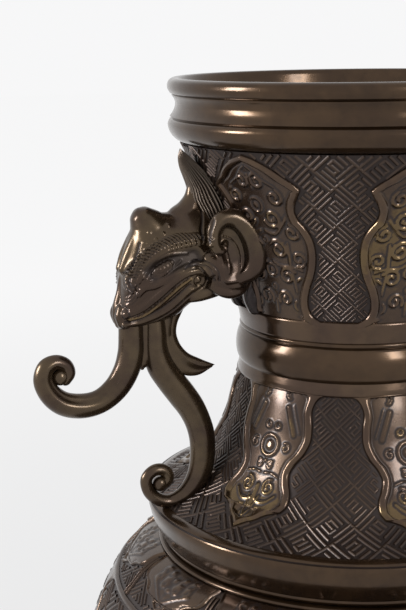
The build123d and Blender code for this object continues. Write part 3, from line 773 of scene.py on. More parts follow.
def wall_piece(name, skin, thickness, rows, plain=None):
    """A shell's wall, marked dark brown outside, partly patina and partly painted shade, but for the heights
    where plain(height) is true.
    """
    wall = shell(skin, thickness, rows)
    outer = np.arange(len(wall[0])) // WALL_COLUMNS < rows
    ground = outer * ~plain(wall[0][:, 2]) if plain else outer
    make_piece(name + "_wall", [wall], SHELL, [name], {"patina_and_shade": ground * WALL_PATINA_AND_SHADE}, 50)


def band(skin, profile):
    """A raised band: a closed profile of (length along the skin, lift) carried round the axis."""
    s, lift = np.array(profile).T
    points = skin.place(0, s, lift)
    return turned(np.stack([-points[:, 1], points[:, 2]], 1), WALL_COLUMNS)


wall_piece("upper_neck", upper_skin, thickness=3.6, rows=90)
wall_piece("lower_neck", lower_skin, thickness=3.4, rows=90)
low, high = upper_skin.along(359.9), upper_skin.along(369)
make_piece("upper_neck_band", [band(upper_skin, [
    (low, -0.3), (low + 0.1, 0.5), (low + 0.6, 0.85), (low + 1.3, 0.95), ((low + high) / 2, 1),
    (high - 1.3, 1.3), (high - 0.6, 1.1), (high - 0.15, 0.5), (high, -0.3), ((low + high) / 2, -0.8),
])], PANEL)
low, high = lower_skin.along(338.9), lower_skin.along(345)
make_piece("lower_neck_band", [band(lower_skin, [
    (low, -0.3), (low + 0.15, 0.4), (low + 0.6, 1), (low + 1.3, 1.3),
    ((low + high) / 2, 1.35), (high, 1.2), (high, -0.5), ((low + high) / 2, -0.8),
])], PANEL)

# %% [markdown]
# ## Body and foot
# The lower half is not in the photograph beyond its shoulder. It repeats the neck's language:
# pointed lobes hang from the collar, pairs of ribs divide the shoulder, a fret fills the ground,
# and leaf-shaped panels hang round the belly and stand on the foot.

# %% Skins of the lower half
body_skin = Skin([(50, 122), (50.3, 128.4), (53, 131), (58, 134.6), (65, 139.4), (77.3, 146.4), (91.6, 159.4),
                  (103.3, 173.8), (112.4, 191.1), (115, 208.4),
                  (112.8, 222.8), (109, 234.3), (104.9, 243.7), (101, 250.2), (96.2, 255.9), (91.6, 261),
                  (87.4, 263.8), (82.2, 265.9)])
foot_skin = Skin([(80.5, 22), (75.3, 30), (70.1, 40), (63.7, 55), (58.5, 70), (54.6, 85), (51.8, 100),
                  (50.3, 112), (50, 121.9)])
waist_outline = rounded((22, [(50.1, 115.5), (51.6, 116.2), (53.4, 118.2), (54.4, 121), (54.4, 123),
    (53.4, 125.8), (51.6, 127.8), (50.1, 128.5)]))
foot_rim_outline = rounded(
    (2, [(76.9, 0), (84.2, 0)]),
    (4, [(84.4, 0.2), (84.5, 0.6), (84.5, 2)]),
    (6, [(84.5, 4), (84.4, 5.6), (83.9, 6.4)]),
    (3, [(83.6, 6.6), (83.3, 6.9), (83.5, 7.2)]),
    (16, [(83.4, 7.6), (82.2, 10), (81.4, 12.8), (81.8, 15.4), (82.9, 16.8)]),
    (3, [(83.1, 17), (82.9, 17.3), (83.3, 17.6)]),
    (10, [(84, 18), (84.4, 19.2), (84, 20.4), (82.6, 21.6), (80.5, 21.95)]),
    (2, [(72.9, 21.95), (72.9, 9.05)]),
    (2, [(76.9, 9.05), (76.9, 0)]),
)
turned_piece("waist_ring", waist_outline, RING_COLUMNS)
turned_piece("foot_rim", foot_rim_outline, WIDE_COLUMNS)

# %% Lobes that hang from the collar
BELLY_BORDER = [(0, -0.7), (0.25, 0.4), (0.7, 0.75), (1.3, 0.88), (2.2, 0.9), (2.8, 0.8), (3.2, 0.5),
                (3.5, 0.2), (3.8, 0.15), (4.3, 0.4)]
LOBE_BORDER = [(0, -0.6), (0.2, 0.5), (0.55, 1), (1, 1), (1.35, 0.6), (1.6, 0.25), (2.1, 0.5)]
lobe_strokes = both(curls(
    (4.6, 262.6, 2.3, 60, 1.3, 0.6, 0.5), (9.8, 263.2, 2, 120, -1.2, 0.55, 0.45),
) + lines(
    (0.5, 0.4, 8, [(0.6, 257), (3, 258.2), (7, 260.2), (12, 262)]),
)) + lines(
    (0.6, 0.45, 2, [(0, 259.6), (0, 256.6)]),
) + rings(
    (0, 262.4, 1.5, 0.6, 0.5),
)
lobe = Panel(body_skin, [
    [(14.6, 265.8), (13.6, 264.2), (13.4, 262.4), (12.2, 260.6), (10.2, 259.6), (9, 258.9)],
    [(8.9, 258.8), (7.6, 257.4), (5, 256.6), (3.6, 256.2)],
    [(3.5, 256.1), (2.2, 255.2), (0.8, 254.2), (0.02, 253.2)],
], rows=52)
LOBE_TURN, RIB_TURN = 17, 2  # degrees from the front to the first lobe and to the first pair of ribs
panel_piece("shoulder_lobes", lobe, [LOBE_TURN + 30 * k for k in range(12)], 46, LOBE_BORDER, lobe_strokes)

belly_strokes = both(curls(
    (7, 236, 4.6, 100, 1.5, 0.9, 0.6), (16, 232, 4, 60, -1.4, 0.85, 0.6), (7.5, 220, 5, 200, -1.5, 0.9, 0.6),
    (18, 217, 4.4, 90, 1.4, 0.85, 0.6), (8, 203, 4.6, 150, 1.5, 0.9, 0.6),
    (17, 200.5, 3.6, 250, -1.3, 0.8, 0.5), (7, 187, 3.8, 30, -1.4, 0.85, 0.55),
) + lines(
    (0.7, 0.5, 10, [(1, 228), (6, 228.4), (13, 225), (20, 226)]),
    (0.7, 0.5, 10, [(1, 211), (6, 211.6), (12, 209.4), (19, 208.6)]),
    (0.7, 0.5, 8, [(0.6, 176), (3.6, 178), (7.6, 181)]),
)) + lines(
    (0.9, 0.55, 2, [(0, 184), (0, 172)]),
) + rings(
    (0, 243, 2.4, 0.8, 0.6), (0, 243, 0.3, 1.2, 0.6), (0, 195, 2.4, 0.8, 0.6), (0, 195, 0.3, 1.2, 0.6),
)
belly = Panel(body_skin, [
    [(24.6, 249.6), (21, 249), (17, 247.6), (14.8, 244), (14.6, 239), (16, 232), (17.4, 224), (17, 215),
     (15, 208), (12.6, 203), (11.8, 198.6), (12.6, 193), (14, 187), (13.4, 182), (11.4, 178.6)],
    [(11.2, 178.2), (9, 175.6), (6.4, 173), (3.6, 169), (0.02, 162)],
], rows=140)
six_panels("belly_panels", belly, 80, BELLY_BORDER, belly_strokes)

foot_strokes = both(curls(
    (5, 92, 2.4, 100, 1.4, 0.6, 0.5), (6, 80, 3, 200, 1.5, 0.66, 0.55), (6.6, 66, 3.4, 150, -1.5, 0.7, 0.55),
    (14, 62, 2.6, 250, 1.3, 0.6, 0.5), (6.2, 51, 3.2, 30, 1.4, 0.66, 0.55),
    (7.6, 39, 2.6, 160, -1.3, 0.6, 0.5),
) + lines(
    (0.5, 0.4, 8, [(1, 73), (5, 73.4), (10, 71)]),
    (0.5, 0.4, 8, [(1, 58), (6, 58.6), (12, 55)]),
)) + lines(
    (0.6, 0.5, 2, [(0, 99), (0, 92)]),
) + rings(
    (0, 86, 2, 0.65, 0.55), (0, 45, 2.2, 0.65, 0.55), (0, 45, 0.2, 1.1, 0.6),
)
foot_leaf = Panel(foot_skin, [
    [(24, 31), (20, 32), (16.4, 33.6), (14.8, 37), (15.2, 42), (17.4, 50), (19.6, 58), (19.8, 65), (17.4, 72),
     (14.6, 77), (13.8, 81), (14.8, 86), (15.6, 89.6)],
    [(15.5, 90), (13, 93.6), (8.2, 98.6), (3.6, 103), (0.02, 106)],
], rows=120)
six_panels("foot_panels", foot_leaf, 66, NECK_BORDER, foot_strokes)

# %% Fret, bands and walls of the lower half
def outside_lobes(degrees, s):
    """True between the lobes and clear of the ribs."""
    away = np.abs((degrees - LOBE_TURN + 15) % 30 - 15)
    r = np.interp(s, body_skin.s, body_skin.r)
    free = away > lobe.half_width(s) + np.degrees(0.4 / r) * (lobe.half_width(s) > 0)
    clear = np.abs((degrees - RIB_TURN + 15) % 30 - 15) * np.radians(r) > 1.3
    return free & clear


fret_piece("shoulder_fret", body_skin, outside_lobes, repeats=36, height=0.42, low=251.4, high=265.4)
fret_piece("belly_fret", body_skin, outside_panels(belly, 0.4), repeats=30, height=0.5, low=160, high=248.6)
fret_piece("foot_fret", foot_skin, outside_panels(foot_leaf, 0.4), repeats=24, height=0.4, low=32.5, high=110)


def even_band(skin, low, high, height=1.0):
    """A smooth raised band between two heights of a skin, rounded alike at both edges."""
    a, b = skin.along(low), skin.along(high)
    rise = [(0, -0.3), (0.1, 0.5), (0.6, 0.85), (1.2, 0.97)]
    profile = ([(a + gap, lift) for gap, lift in rise] + [((a + b) / 2, 1)]
               + [(b - gap, lift) for gap, lift in rise[::-1]] + [((a + b) / 2, -0.9)])
    return band(skin, [(s, height * lift) for s, lift in profile])


def rib(skin, degrees, low, high, width, height):
    """A rounded rib that runs up a skin at one angle."""
    s = np.linspace(skin.along(low), skin.along(high), 14)[:, None]
    r = np.interp(s, skin.s, skin.r)
    across, rise = np.array([-1, -0.8, 0, 0.8, 1]), np.array([-0.5, 0.7, 1.0, 0.7, -0.5])
    sideways = degrees + np.degrees(width / r) * across[None, :]
    return skin_over(skin.place(sideways, s + 0 * across[None, :], height * rise[None, :] + 0 * s))


make_piece("lower_bands", [even_band(body_skin, 249, 251.2), even_band(body_skin, 156.6, 159.8),
                           even_band(foot_skin, 22.4, 31.6), even_band(foot_skin, 110.4, 115.3, 0.8)], SHELL)
make_piece("shoulder_ribs", [rib(body_skin, RIB_TURN + 30 * k + off, 251.4, 264.6, width=0.5, height=0.8)
                             for k in range(12) for off in (-0.6, 0.6)], SHELL)
wall_piece("body", body_skin, thickness=3.5, rows=110, plain=lambda z: (z < 156) & (z > 120))
wall_piece("foot", foot_skin, thickness=3.5, rows=70, plain=lambda z: (z > 115) | (z < 22.2))

# %% [markdown]
# ## Rivets and base plate
# The rivets and the base plate are plain solids on the real vase too, so they keep their shapes
# and only get a finish.

# %% Finishes of the plain solids
for node in scene.objects:
    if node.type == "MESH" and ("rivet" in node.name or node.name == "base_plate"):
        node.data.materials.clear()
        node.data.materials.append((PIN if "rivet" in node.name else SHELL)["material"])
print("rivets and base plate are finished")

# %% [markdown]
# ## The elephant heads
# A head is planned in its own plane: outwards from the vase, upwards from the table, and sideways
# from its middle. Skull and horn are closed forms through ovals, the ear is a plate with a rolled
# edge, and cheek, jaw, snout and folds are round bars. They are fused on a fine grid, softened and
# then chased: ridges and grooves are strokes of the same rounded tool that made the panels, pushed
# square to the surface.

# %% Ovals, rolls and the fused head
SIDEWAYS = np.array([[0.0, 1.0, 0.0]])


def heading(line):
    """The unit direction along a line at each of its points."""
    ahead = np.gradient(line, axis=0)
    return ahead / np.linalg.norm(ahead, axis=1, keepdims=True)


def ovals(stations, count, power, narrow=0.0):
    """
    A closed form through ovals: (out, up) of the top, (out, up) of the bottom and half the width.
    Power squares the ovals, and narrow pinches their upper half by that share.
    """
    s = flow([((a + c) / 2, (b + d) / 2, a, b, c, d, w) for a, b, c, d, w in stations], count)
    angle = np.linspace(0, 2 * np.pi, 40, endpoint=False)[None, :]
    ca, sa = np.cos(angle), np.sin(angle)
    up = np.sign(sa) * np.abs(sa) ** (2 / power)
    side = np.sign(ca) * np.abs(ca) ** (2 / power) * (1 - narrow * np.clip(up, 0, 1) ** 1.5)
    middle, half = (s[:, 2:4] + s[:, 4:6]) / 2, (s[:, 2:4] - s[:, 4:6]) / 2
    points = middle[:, None, :] + half[:, None, :] * up[..., None]
    return skin_over(np.stack([points[..., 0], s[:, 6:7] * side, points[..., 1]], -1))


def roll(stations, count, columns=18):
    """A round bar through (out, side, up, radius), with its ends drawn together."""
    s = flow([(a, c, b, r) for a, b, c, r in stations], count)
    line, radius = s[:, [0, 2, 1]], s[:, 3:4]
    ahead = heading(line)
    side = np.cross(ahead, SIDEWAYS)
    side /= np.linalg.norm(side, axis=1, keepdims=True)
    other = np.cross(side, ahead)
    back = np.linspace(-1, 0, 6)[:-1]
    cap = np.sqrt(1 - back**2)
    order = np.r_[np.zeros(5, int), np.arange(count), np.full(5, count - 1)]
    shrink = np.r_[cap, np.ones(count), cap[::-1]][:, None]
    push = np.r_[back, np.zeros(count), -back[::-1]][:, None]
    line = line[order] + push * radius[order] * ahead[order]
    angle = np.linspace(0, 2 * np.pi, columns, endpoint=False)[None, :, None]
    r = (radius[order] * np.maximum(shrink, 0.05))[:, None]
    around = np.cos(angle) * side[order][:, None] + np.sin(angle) * other[order][:, None]
    return skin_over(line[:, None] + r * around)


def on_both_sides(shape):
    """The shape and its mirror image on the other side of the head."""
    v, f = shape
    return [shape, closed(v * (1, -1, 1), f[:, ::-1])]


def fuse(shapes, voxel, soften):
    """Fuses closed shapes on a grid of cubes and softens the steps; returns points, faces and normals."""
    mesh = bpy.data.meshes.new("fused")
    shift, verts, faces = 0, [], []
    for v, f in shapes:
        verts.append(v)
        faces.append(f + shift)
        shift += len(v)
    faces = [list(dict.fromkeys(face)) for face in np.vstack(faces).tolist()]
    mesh.from_pydata(np.vstack(verts).tolist(), [], faces)
    blank = bpy.data.objects.new("fused", mesh)
    scene.collection.objects.link(blank)
    grid = blank.modifiers.new("grid", "REMESH")
    grid.mode, grid.voxel_size, grid.adaptivity = "VOXEL", voxel, 0
    soft = blank.modifiers.new("soft", "SMOOTH")
    soft.factor, soft.iterations = 0.5, soften
    done = bpy.data.meshes.new_from_object(blank.evaluated_get(bpy.context.evaluated_depsgraph_get()))
    points, normals = np.empty(3 * len(done.vertices)), np.empty(3 * len(done.vertices))
    done.vertices.foreach_get("co", points)
    done.vertices.foreach_get("normal", normals)
    corners, starts = np.empty(len(done.loops), int), np.empty(len(done.polygons), int)
    done.loops.foreach_get("vertex_index", corners)
    done.polygons.foreach_get("loop_start", starts)
    sizes = np.diff(np.r_[starts, len(corners)])
    last = starts + np.minimum(3, sizes - 1)
    faces = np.stack([corners[starts], corners[starts + 1], corners[starts + 2], corners[last]], 1)
    bpy.data.objects.remove(blank)
    bpy.data.meshes.remove(mesh)
    bpy.data.meshes.remove(done)
    return points.reshape(-1, 3), faces, normals.reshape(-1, 3)


skull = ovals([
    (44, 404, 47, 381, 7), (50, 404, 52, 378, 9), (60, 408, 60, 377, 11.5), (68, 412.5, 66, 376, 13),
    (73.5, 411.4, 70.5, 374, 14), (79, 409.4, 74.5, 371.5, 14.2), (84, 409.5, 78, 368.5, 13.8),
    (88.5, 409, 82, 367, 13), (93, 406.5, 86, 366, 11.8), (95.3, 401.8, 89.5, 365.5, 10.6),
    (97.6, 396.5, 92.5, 365, 9.8), (99.4, 390, 95.5, 364.7, 9), (100, 383, 97.6, 364.4, 8),
    (100.6, 376, 99.8, 364.4, 6.6), (101.6, 371.5, 101.2, 364.8, 4.6)], count=60, power=2.35, narrow=0.3)
horn = ovals([(78, 405, 93, 394, 9.2), (81.6, 409, 94.4, 400.6, 7.6), (86.2, 411.2, 94.8, 405.2, 5.6),
              (89.8, 412.1, 94.6, 408.2, 3.6), (92.2, 411.6, 93.8, 410, 1.4)], count=24, power=2)
nape = roll([(78.5, 0, 403.4, 5.6), (74.6, 0, 405.4, 6.4), (71, 0, 409, 5.8), (69.2, 0, 414, 4.2),
             (69.4, 0, 419, 2.2)], 30)
forehead = roll([(91.6, 1.8, 402.5, 2.8), (94, 2, 397.5, 3.1), (96.6, 2, 392.4, 2.9), (98.8, 1.8, 388.4, 2)],
                20)
snout = roll([(98.4, 0, 384.5, 2), (99.2, 0, 379, 2.2), (100.4, 0, 373.5, 2.6), (100.8, 0, 369, 2.4),
              (100.4, 0, 366.6, 1.9)], 16)
bead = roll([(100.4, 3.2, 373.4, 1.8), (100.8, 3.6, 370.4, 2.4), (100.4, 3.4, 367.4, 1.9)], 10)
cheek = roll([(71, 10.6, 391, 3), (67.2, 12.4, 390.8, 4.9), (64, 13.8, 389.2, 5.4), (62.8, 13.2, 385.2, 4.9),
              (64.4, 11.8, 381.4, 3.8)], 26)
jaw = roll([(62.5, 9.5, 379.6, 3), (67, 10, 378.6, 3), (71, 9.6, 377.4, 2.6), (74.5, 8.4, 376.4, 2)], 18)
ear_rim = roll([
    (62.8, 18.6, 398.4, 1.3), (63.6, 19.2, 396.6, 1.6), (65.6, 19.6, 396.2, 2), (67.3, 19.6, 398, 2.3),
    (67.9, 19.4, 401.4, 2.5), (67, 19, 405.2, 2.8), (64, 18.8, 408.2, 3.2), (59.8, 18.6, 408.4, 3.8),
    (55.4, 18.6, 406, 4.4), (52, 18.8, 401.6, 4.8), (50.2, 19, 396.2, 4.9), (50.2, 18.8, 391, 4.6),
    (52.4, 18.2, 386.8, 3.8), (56, 17.2, 384.4, 2.6)], 90, columns=22)
fold = roll([(66.8, 13.4, 381.6, 1.7), (63.4, 14.6, 379.7, 2.4), (59.4, 15, 378.9, 2.8),
             (55.4, 14.4, 379.6, 2.5), (52.4, 13, 381.2, 1.9)], 26)
fold_top = roll([(65.6, 15.2, 384.2, 1.2), (61.6, 16.4, 382.2, 1.6), (57.4, 16.6, 381.6, 1.8),
                 (53.8, 15.6, 382.4, 1.4)], 22)
stub = roll([(48.6, 8.4, 380, 3.4), (48, 8.8, 374.6, 3.8), (46.8, 8.8, 370.6, 3.3)], 12)


def disc(points, side_in, side_out, bulge, count=48):
    """A closed plate with the outline (out, up), from side_in to side_out, crowned by bulge."""
    line = flow(points, count, closed=True)
    middle = line.mean(0)
    loops = []
    for size, side in ((0.05, side_in), (0.9, side_in), (1, side_in + 0.6), (1, side_out - 0.8),
                       (0.93, side_out), (0.7, side_out + 0.6 * bulge), (0.35, side_out + bulge),
                       (0.03, side_out + bulge)):
        p = middle + (line - middle) * size
        loops.append(np.stack([p[:, 0], np.full(count, side), p[:, 1]], 1))
    return skin_over(np.array(loops))


ear_plate = disc([(66.5, 404), (60.5, 408), (54, 404.5), (50.6, 397), (51, 389), (56, 383.6), (63, 383),
                  (64.5, 391), (66.5, 397)], 5, 19.2, -1.9)
shapes = [skull, horn, nape, snout]
for shape in (forehead, bead, cheek, jaw, ear_rim, ear_plate, fold, fold_top, stub):
    shapes += on_both_sides(shape)
VOXEL, SOFTEN = ((0.4, 10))  # side of a cube in millimetres, rounds of smoothing
points, faces, normals = fuse(shapes, VOXEL, SOFTEN)
print("head points", len(points), "span", points.min(0).round(1), points.max(0).round(1))

# %% [markdown]
# ## Chasing the head
# The comb of the brow is a row of short teeth square to the brow line. The eye lies in a long
# hollow under it, the lip is a swollen band with a brassy line below, and thin ribs run in the ear.

# %% Ridges, grooves and hollows of the face
brow = flow([(67.5, 399.3), (69.7, 399.1), (75.1, 398.4), (80.5, 397.5), (83.8, 396.5), (87.6, 394.5),
             (90.8, 391.6), (93, 388.3), (95, 384.6)], 40)
warts = [(84.6, 402.6), (87.6, 400.6), (82, 405.4), (89.6, 403), (91.8, 399.2)]
ridges = lines(
    (0.8, 0.55, 24, [(93.1, 385.6), (90.9, 389.6), (88.1, 392.4), (84.9, 394.2), (80.6, 394.9), (76.3, 395)]),
    (0.7, 0.45, 18, [(90.9, 385.2), (88, 385.8), (84.9, 387.5), (81.6, 390), (79, 392.3)]),
    (1.7, 0.7, 24, [(95.4, 379.6), (92.9, 382), (89.1, 382.9), (84.8, 384.9), (80.4, 388), (76, 390),
                    (71.7, 390.6)]),
    (2.1, 1.15, 28, [(99.4, 371.6), (93.4, 374.2), (88.5, 378.1), (84.1, 382.3), (80.2, 385.5), (76.4, 387.4),
                     (72.1, 388), (68.4, 386.6)]),
    (0.75, 0.75, 26, [(98.5, 369.7), (93, 370.9), (88, 374.4), (83.1, 379), (78.7, 382.8), (75.2, 385.1)]),
    (1.25, 0.8, 26, [(100, 367.4), (94.9, 367.5), (88.4, 369.6), (82.9, 373), (78.4, 377.4), (75.1, 380.2),
                     (71.4, 381.7)]),
    (0.45, 0.4, 18, [(63.9, 401.6), (60.4, 400.2), (57.9, 396.9), (56.7, 392.8), (56.6, 388.4)]),
    (0.4, 0.3, 14, [(64.3, 398.6), (62.6, 396.6), (61.5, 393.6), (61.2, 387)]),
) + rings(
    (72.2, 384.2, 2.5, 0.85, 0.75, -60, 280), (72.2, 384.2, 0.3, 1.15, 0.8),
    (71.6, 384, 4.9, 0.6, 0.4, 20, 190),
) + rings(*((x, y, 0.15, 0.75, 0.4) for x, y in warts))
brassy_line = ridges[4][0]
grooves = lines(
    (0.5, 0.4, 18, [(77.6, 389.2), (73.7, 391.9), (69.4, 391.6), (66, 388.2), (64.9, 383.6)]),
    (0.42, 0.35, 18, [(76, 389.9), (73, 390.4), (70, 390), (67.4, 387.2), (66.4, 383.8)]),
    (0.42, 0.35, 16, [(75, 388.9), (72.4, 389.2), (70.4, 388.6), (68.6, 386.4), (67.8, 383.6)]),
    (0.5, 0.5, 24, [(99, 370.6), (93.2, 372.3), (88.3, 376), (83.6, 380.5), (79.4, 384.1), (75.8, 386.2)]),
    (0.5, 0.5, 24, [(100, 368.5), (94.2, 369.1), (88.2, 372.1), (83, 376), (78.6, 380), (75, 383)]),
    (0.5, 0.35, 24, [(99.6, 366.1), (93, 366.2), (87.5, 368), (82, 371.6), (77.6, 375.6), (72.6, 379.6)]),
    (0.55, 0.5, 12, [(99.8, 387), (97.2, 389.4), (95, 394.2), (93.4, 399)]),
    (0.5, 0.45, 12, [(101.6, 375.2), (99.4, 374), (98.4, 371.4), (99, 368.8)]),
    (0.8, 0.5, 12, [(67.6, 411), (68.4, 407), (69.6, 403.4), (69.8, 399.6)]),
) + rings(
    (100.4, 380.6, 2.2, 0.4, 0.3, 120, 150), (100.4, 380.6, 3.3, 0.4, 0.3, 110, 160),
    (100.4, 380.6, 4.4, 0.4, 0.3, 105, 160), (100.4, 380.6, 5.5, 0.4, 0.25, 110, 140),
)
eye_line = flow([(92.6, 385.4), (89, 388.6), (84.4, 390.7), (79, 392.4), (74, 393.4)], 20)


def chase(points, normals):
    """Moves each point along its normal by the ridges less the grooves, as far as it faces sideways."""
    out, side, up = points[:, 0], np.abs(points[:, 1]), points[:, 2]
    facing = smoothstep(np.abs(normals[:, 1]), 0.1, 0.42) * smoothstep(side, 1.5, 4.0)
    face = out > 66.5
    skin = facing > 0
    lift, cut = np.zeros(len(out)), np.zeros(len(out))
    lift[skin] = relief(out[skin], up[skin], ridges)
    cut[skin] = relief(out[skin], up[skin], grooves)
    # the comb of the brow: short teeth beyond the brow line, and a row of beads on it
    d, u, above = to_line(out, up, brow)
    width = np.interp(u, [0, 4, 12, 20, 30], [2.2, 3.6, 4.8, 5.0, 5.6])
    band = (above > 0) * face * smoothstep(d, 0.7,
        1.3) * (1 - smoothstep(d, width - 0.9, width)) * smoothstep(u, 0.2, 1.5)
    teeth = 0.5 + 0.5 * np.cos(2 * np.pi * (u - 0.12 * d * d) / 1.32)
    beads = 0.75 + 0.25 * np.cos(2 * np.pi * u / 1.9) * (u < 16)
    lift += band * (0.25 + 0.62 * teeth**0.8) + face * 0.95 * (1 - smoothstep(d, 0.45,
        1.25)) * beads * smoothstep(u, 0.2, 2)
    # the eye: a long hollow, an oval ball that leans with it, a swirl and a pupil
    gap, t, _ = to_line(out, up, eye_line)
    socket = face * 1.5 * (1 - smoothstep(gap, 1.6, 4.4)) * smoothstep(t, 0, 3)
    a, b = (out - 86.1) * 0.83 - (up - 389.3) * 0.56, (out - 86.1) * 0.56 + (up - 389.3) * 0.83
    ball = np.sqrt(np.clip(1 - (a / 5.4) ** 2 - (b / 2.3) ** 2, 0, 1))
    swirl = 0.16 * np.cos(2 * np.pi * np.hypot((out - 87.4) * 0.8, up - 389.5) / 1.3) * (ball > 0)
    pupil = 0.3 * (1 - smoothstep(np.hypot(out - 87.6, up - 389.4), 0.6, 1.1))
    # the brassy line under the lip, and the hatched strap low behind the ear
    brass = relief(out, up, [(brassy_line, 1.1, 1.0)]) * (0.8 + 0.3 * np.cos(2 * np.pi * (out + up) / 1.1))
    strap = smoothstep(1 - np.hypot((out - 47.6) / 5.0, (up - 374.5) / 7.5), 0.0, 0.25) * (side > 4)
    total = lift - 1.1 * cut - socket + face * (1.45 * ball + swirl + pupil)
    total += strap * 0.35 * np.cos(2 * np.pi * side / 1.6)
    # Dark brown is marked in the grooves, the eye's hollow, between the comb's teeth, on the hatched strap and
    # in the ear's dish: partly patina, partly painted shade.
    patina_and_shade = np.clip(1.6 * cut, 0, 0.8) + np.clip(socket * 0.62 - ball * 0.9, 0,
        0.75) + band * np.clip(0.75 - teeth, 0, 0.7) + strap * 0.7
    dish = (1 - smoothstep(np.hypot((out - 58.5) / 6.4, (up - 394.5) / 8.5), 0.7,
        1.05)) * (side > 12) * (side < 17.6)
    worn = np.clip(brass * 0.95, 0, 0.9) * facing + band * teeth * 0.1
    marks = {"patina_and_shade": np.clip(patina_and_shade * facing + dish * 0.2 + strap * 0.3, 0, 1), "worn": worn}
    return points + normals * (total * facing)[:, None], marks


chased, head_marks = chase(points, normals)
for side, turn in (("left", -1), ("right", 1)):
    make_piece(side + "_head_chased", [closed(chased * (turn, turn, 1), faces)], HANDLE, [side + "_head"],
               head_marks)

# %% [markdown]
# ## Mane, leaf, trunk and scroll
# The mane is a pointed lock of hair: its ribs run from the root to the tip, so the ribs are the
# columns of one grid. The trunk and the scroll arm are bent bars whose section is a rounded
# lozenge, which gives them a soft edge along each side.

# %% The mane and the leaf
hair_front = flow([(64.5, 400), (66, 404.6), (68.2, 409), (70.4, 413.4), (71.2, 418.6), (72.8, 422.8),
                   (74.4, 427), (74.9, 430.6), (74.2, 433.7)], 70)
hair_back = flow([(54, 398), (54.2, 403.6), (55, 408.9), (56.4, 414.1), (60.2, 419.9), (65, 425.4),
                  (69.6, 429.6), (72.6, 432.4), (74, 433.6)], 70)
v = np.linspace(0, 1, 70)[:, None]
angle = np.linspace(0, 2 * np.pi, 320, endpoint=False)[None, :]
ca, sa = np.cos(angle), np.sin(angle)
ca, sa = np.sign(ca) * np.abs(ca) ** 0.86, np.sign(sa) * np.abs(sa) ** 0.86
groove = np.abs(np.sin(16 * angle)) ** 0.8
fade = smoothstep(v, 0, 0.06) * (1 - smoothstep(v, 0.93, 1))
swell = 1 + fade * (groove - 0.6) * 0.12
middle, half = (hair_front + hair_back) / 2, (hair_front - hair_back) / 2
spread = 9.6 * (1 - 0.9 * v**1.7)
out, up = (middle[:, k:k + 1] + half[:, k:k + 1] * ca * swell for k in (0, 1))
lock = np.stack([out, spread * sa * swell, up], -1)
# The grooves between the mane's ribs are marked dark brown: partly patina, partly painted shade.
hair_marks = np.r_[(fade * np.clip(0.5 - groove, 0, 1) * 1.2).ravel(), 0, 0]

leaf_outer = flow([(80.5, 372.6), (82.8, 368), (83.8, 364), (83.8, 360.5), (83.6, 356.4), (81.8, 351.4),
                   (78.6, 346.8), (74.6, 343.4), (68.6, 342.6), (62.4, 345.2)], 60)
leaf_ridge = flow([(77.6, 373), (79.4, 368.4), (80.3, 363.6), (80.2, 360.2), (79.2, 357), (76.4, 352.9),
                   (71.9, 348.7), (66.6, 346.3), (61.9, 346)], 60)
leaf_inner = flow([(72.5, 373.6), (75.3, 368.9), (77.1, 365), (77.6, 361.6), (76.3, 356.9), (72.9, 352.5),
                   (67.4, 349.2), (61.2, 346.2)], 60)
shares = [(0, 0, 0.35), (0, 0.12, 0.62), (0, 0.45, 0.52), (0, 0.8, 0.72), (1, 0, 1), (1, 0.15, 0.98),
          (1, 0.5, 0.86), (1, 0.85, 0.66), (1, 1, 0.4)]
thick = 3.5 * (1 - 0.85 * np.linspace(0, 1, 60)[:, None] ** 3)
ribs = []
for part, share, thickness in shares:
    first, second = ((leaf_outer, leaf_ridge), (leaf_ridge, leaf_inner))[part]
    p = first + (second - first) * share
    ribs.append(np.stack([p[:, 0], thick[:, 0] * thickness, p[:, 1]], 1))
ribs = np.stack(ribs, 1)
around = np.concatenate([ribs, ribs[:, ::-1] * (1, -1, 1)], 1)

# %% Bent bars
def bar(stations, count, columns=36, power=1.75, crease=None):
    """
    A bent bar through (out, up, radius) with a lozenge section, |cos|^p + |sin|^p = 1; crease
    gives the start and end share of a groove along its inner side.
    """
    s = flow(stations, count)
    line, radius = np.stack([s[:, 0], np.zeros(count), s[:, 1]], 1), s[:, 2:3]
    ahead = heading(line)
    inward = np.cross(ahead, SIDEWAYS)
    push = np.linspace(-1, 0, 8)[:-1]
    order = np.r_[np.arange(count), np.full(7, count - 1)]
    shrink = np.r_[np.ones(count), np.sqrt(1 - push[::-1] ** 2)][:, None, None]
    line = line[order] + np.r_[np.zeros(count), -push[::-1]][:, None] * radius[order] * ahead[order]
    angle = np.linspace(0, 2 * np.pi, columns, endpoint=False)[None, :]
    ca, sa = np.cos(angle), np.sin(angle)
    size = (np.abs(ca) ** power + np.abs(sa) ** power) ** (-1 / power)
    share = (order / count)[:, None]
    size = size + 0 * share
    if crease:
        first, last = crease
        at = np.exp(-((ca - 0.62) / 0.17) ** 2)
        size = size * (1 - 0.13 * at * smoothstep(share, first,
            first + 0.1) * (1 - smoothstep(share, last - 0.05, last)))
    reach = (radius[order] * size)[..., None] * np.maximum(shrink, 0.04)
    rings = line[:, None] + reach * (ca[..., None] * inward[order][:, None] + sa[..., None] * SIDEWAYS[0])
    return skin_over(rings)


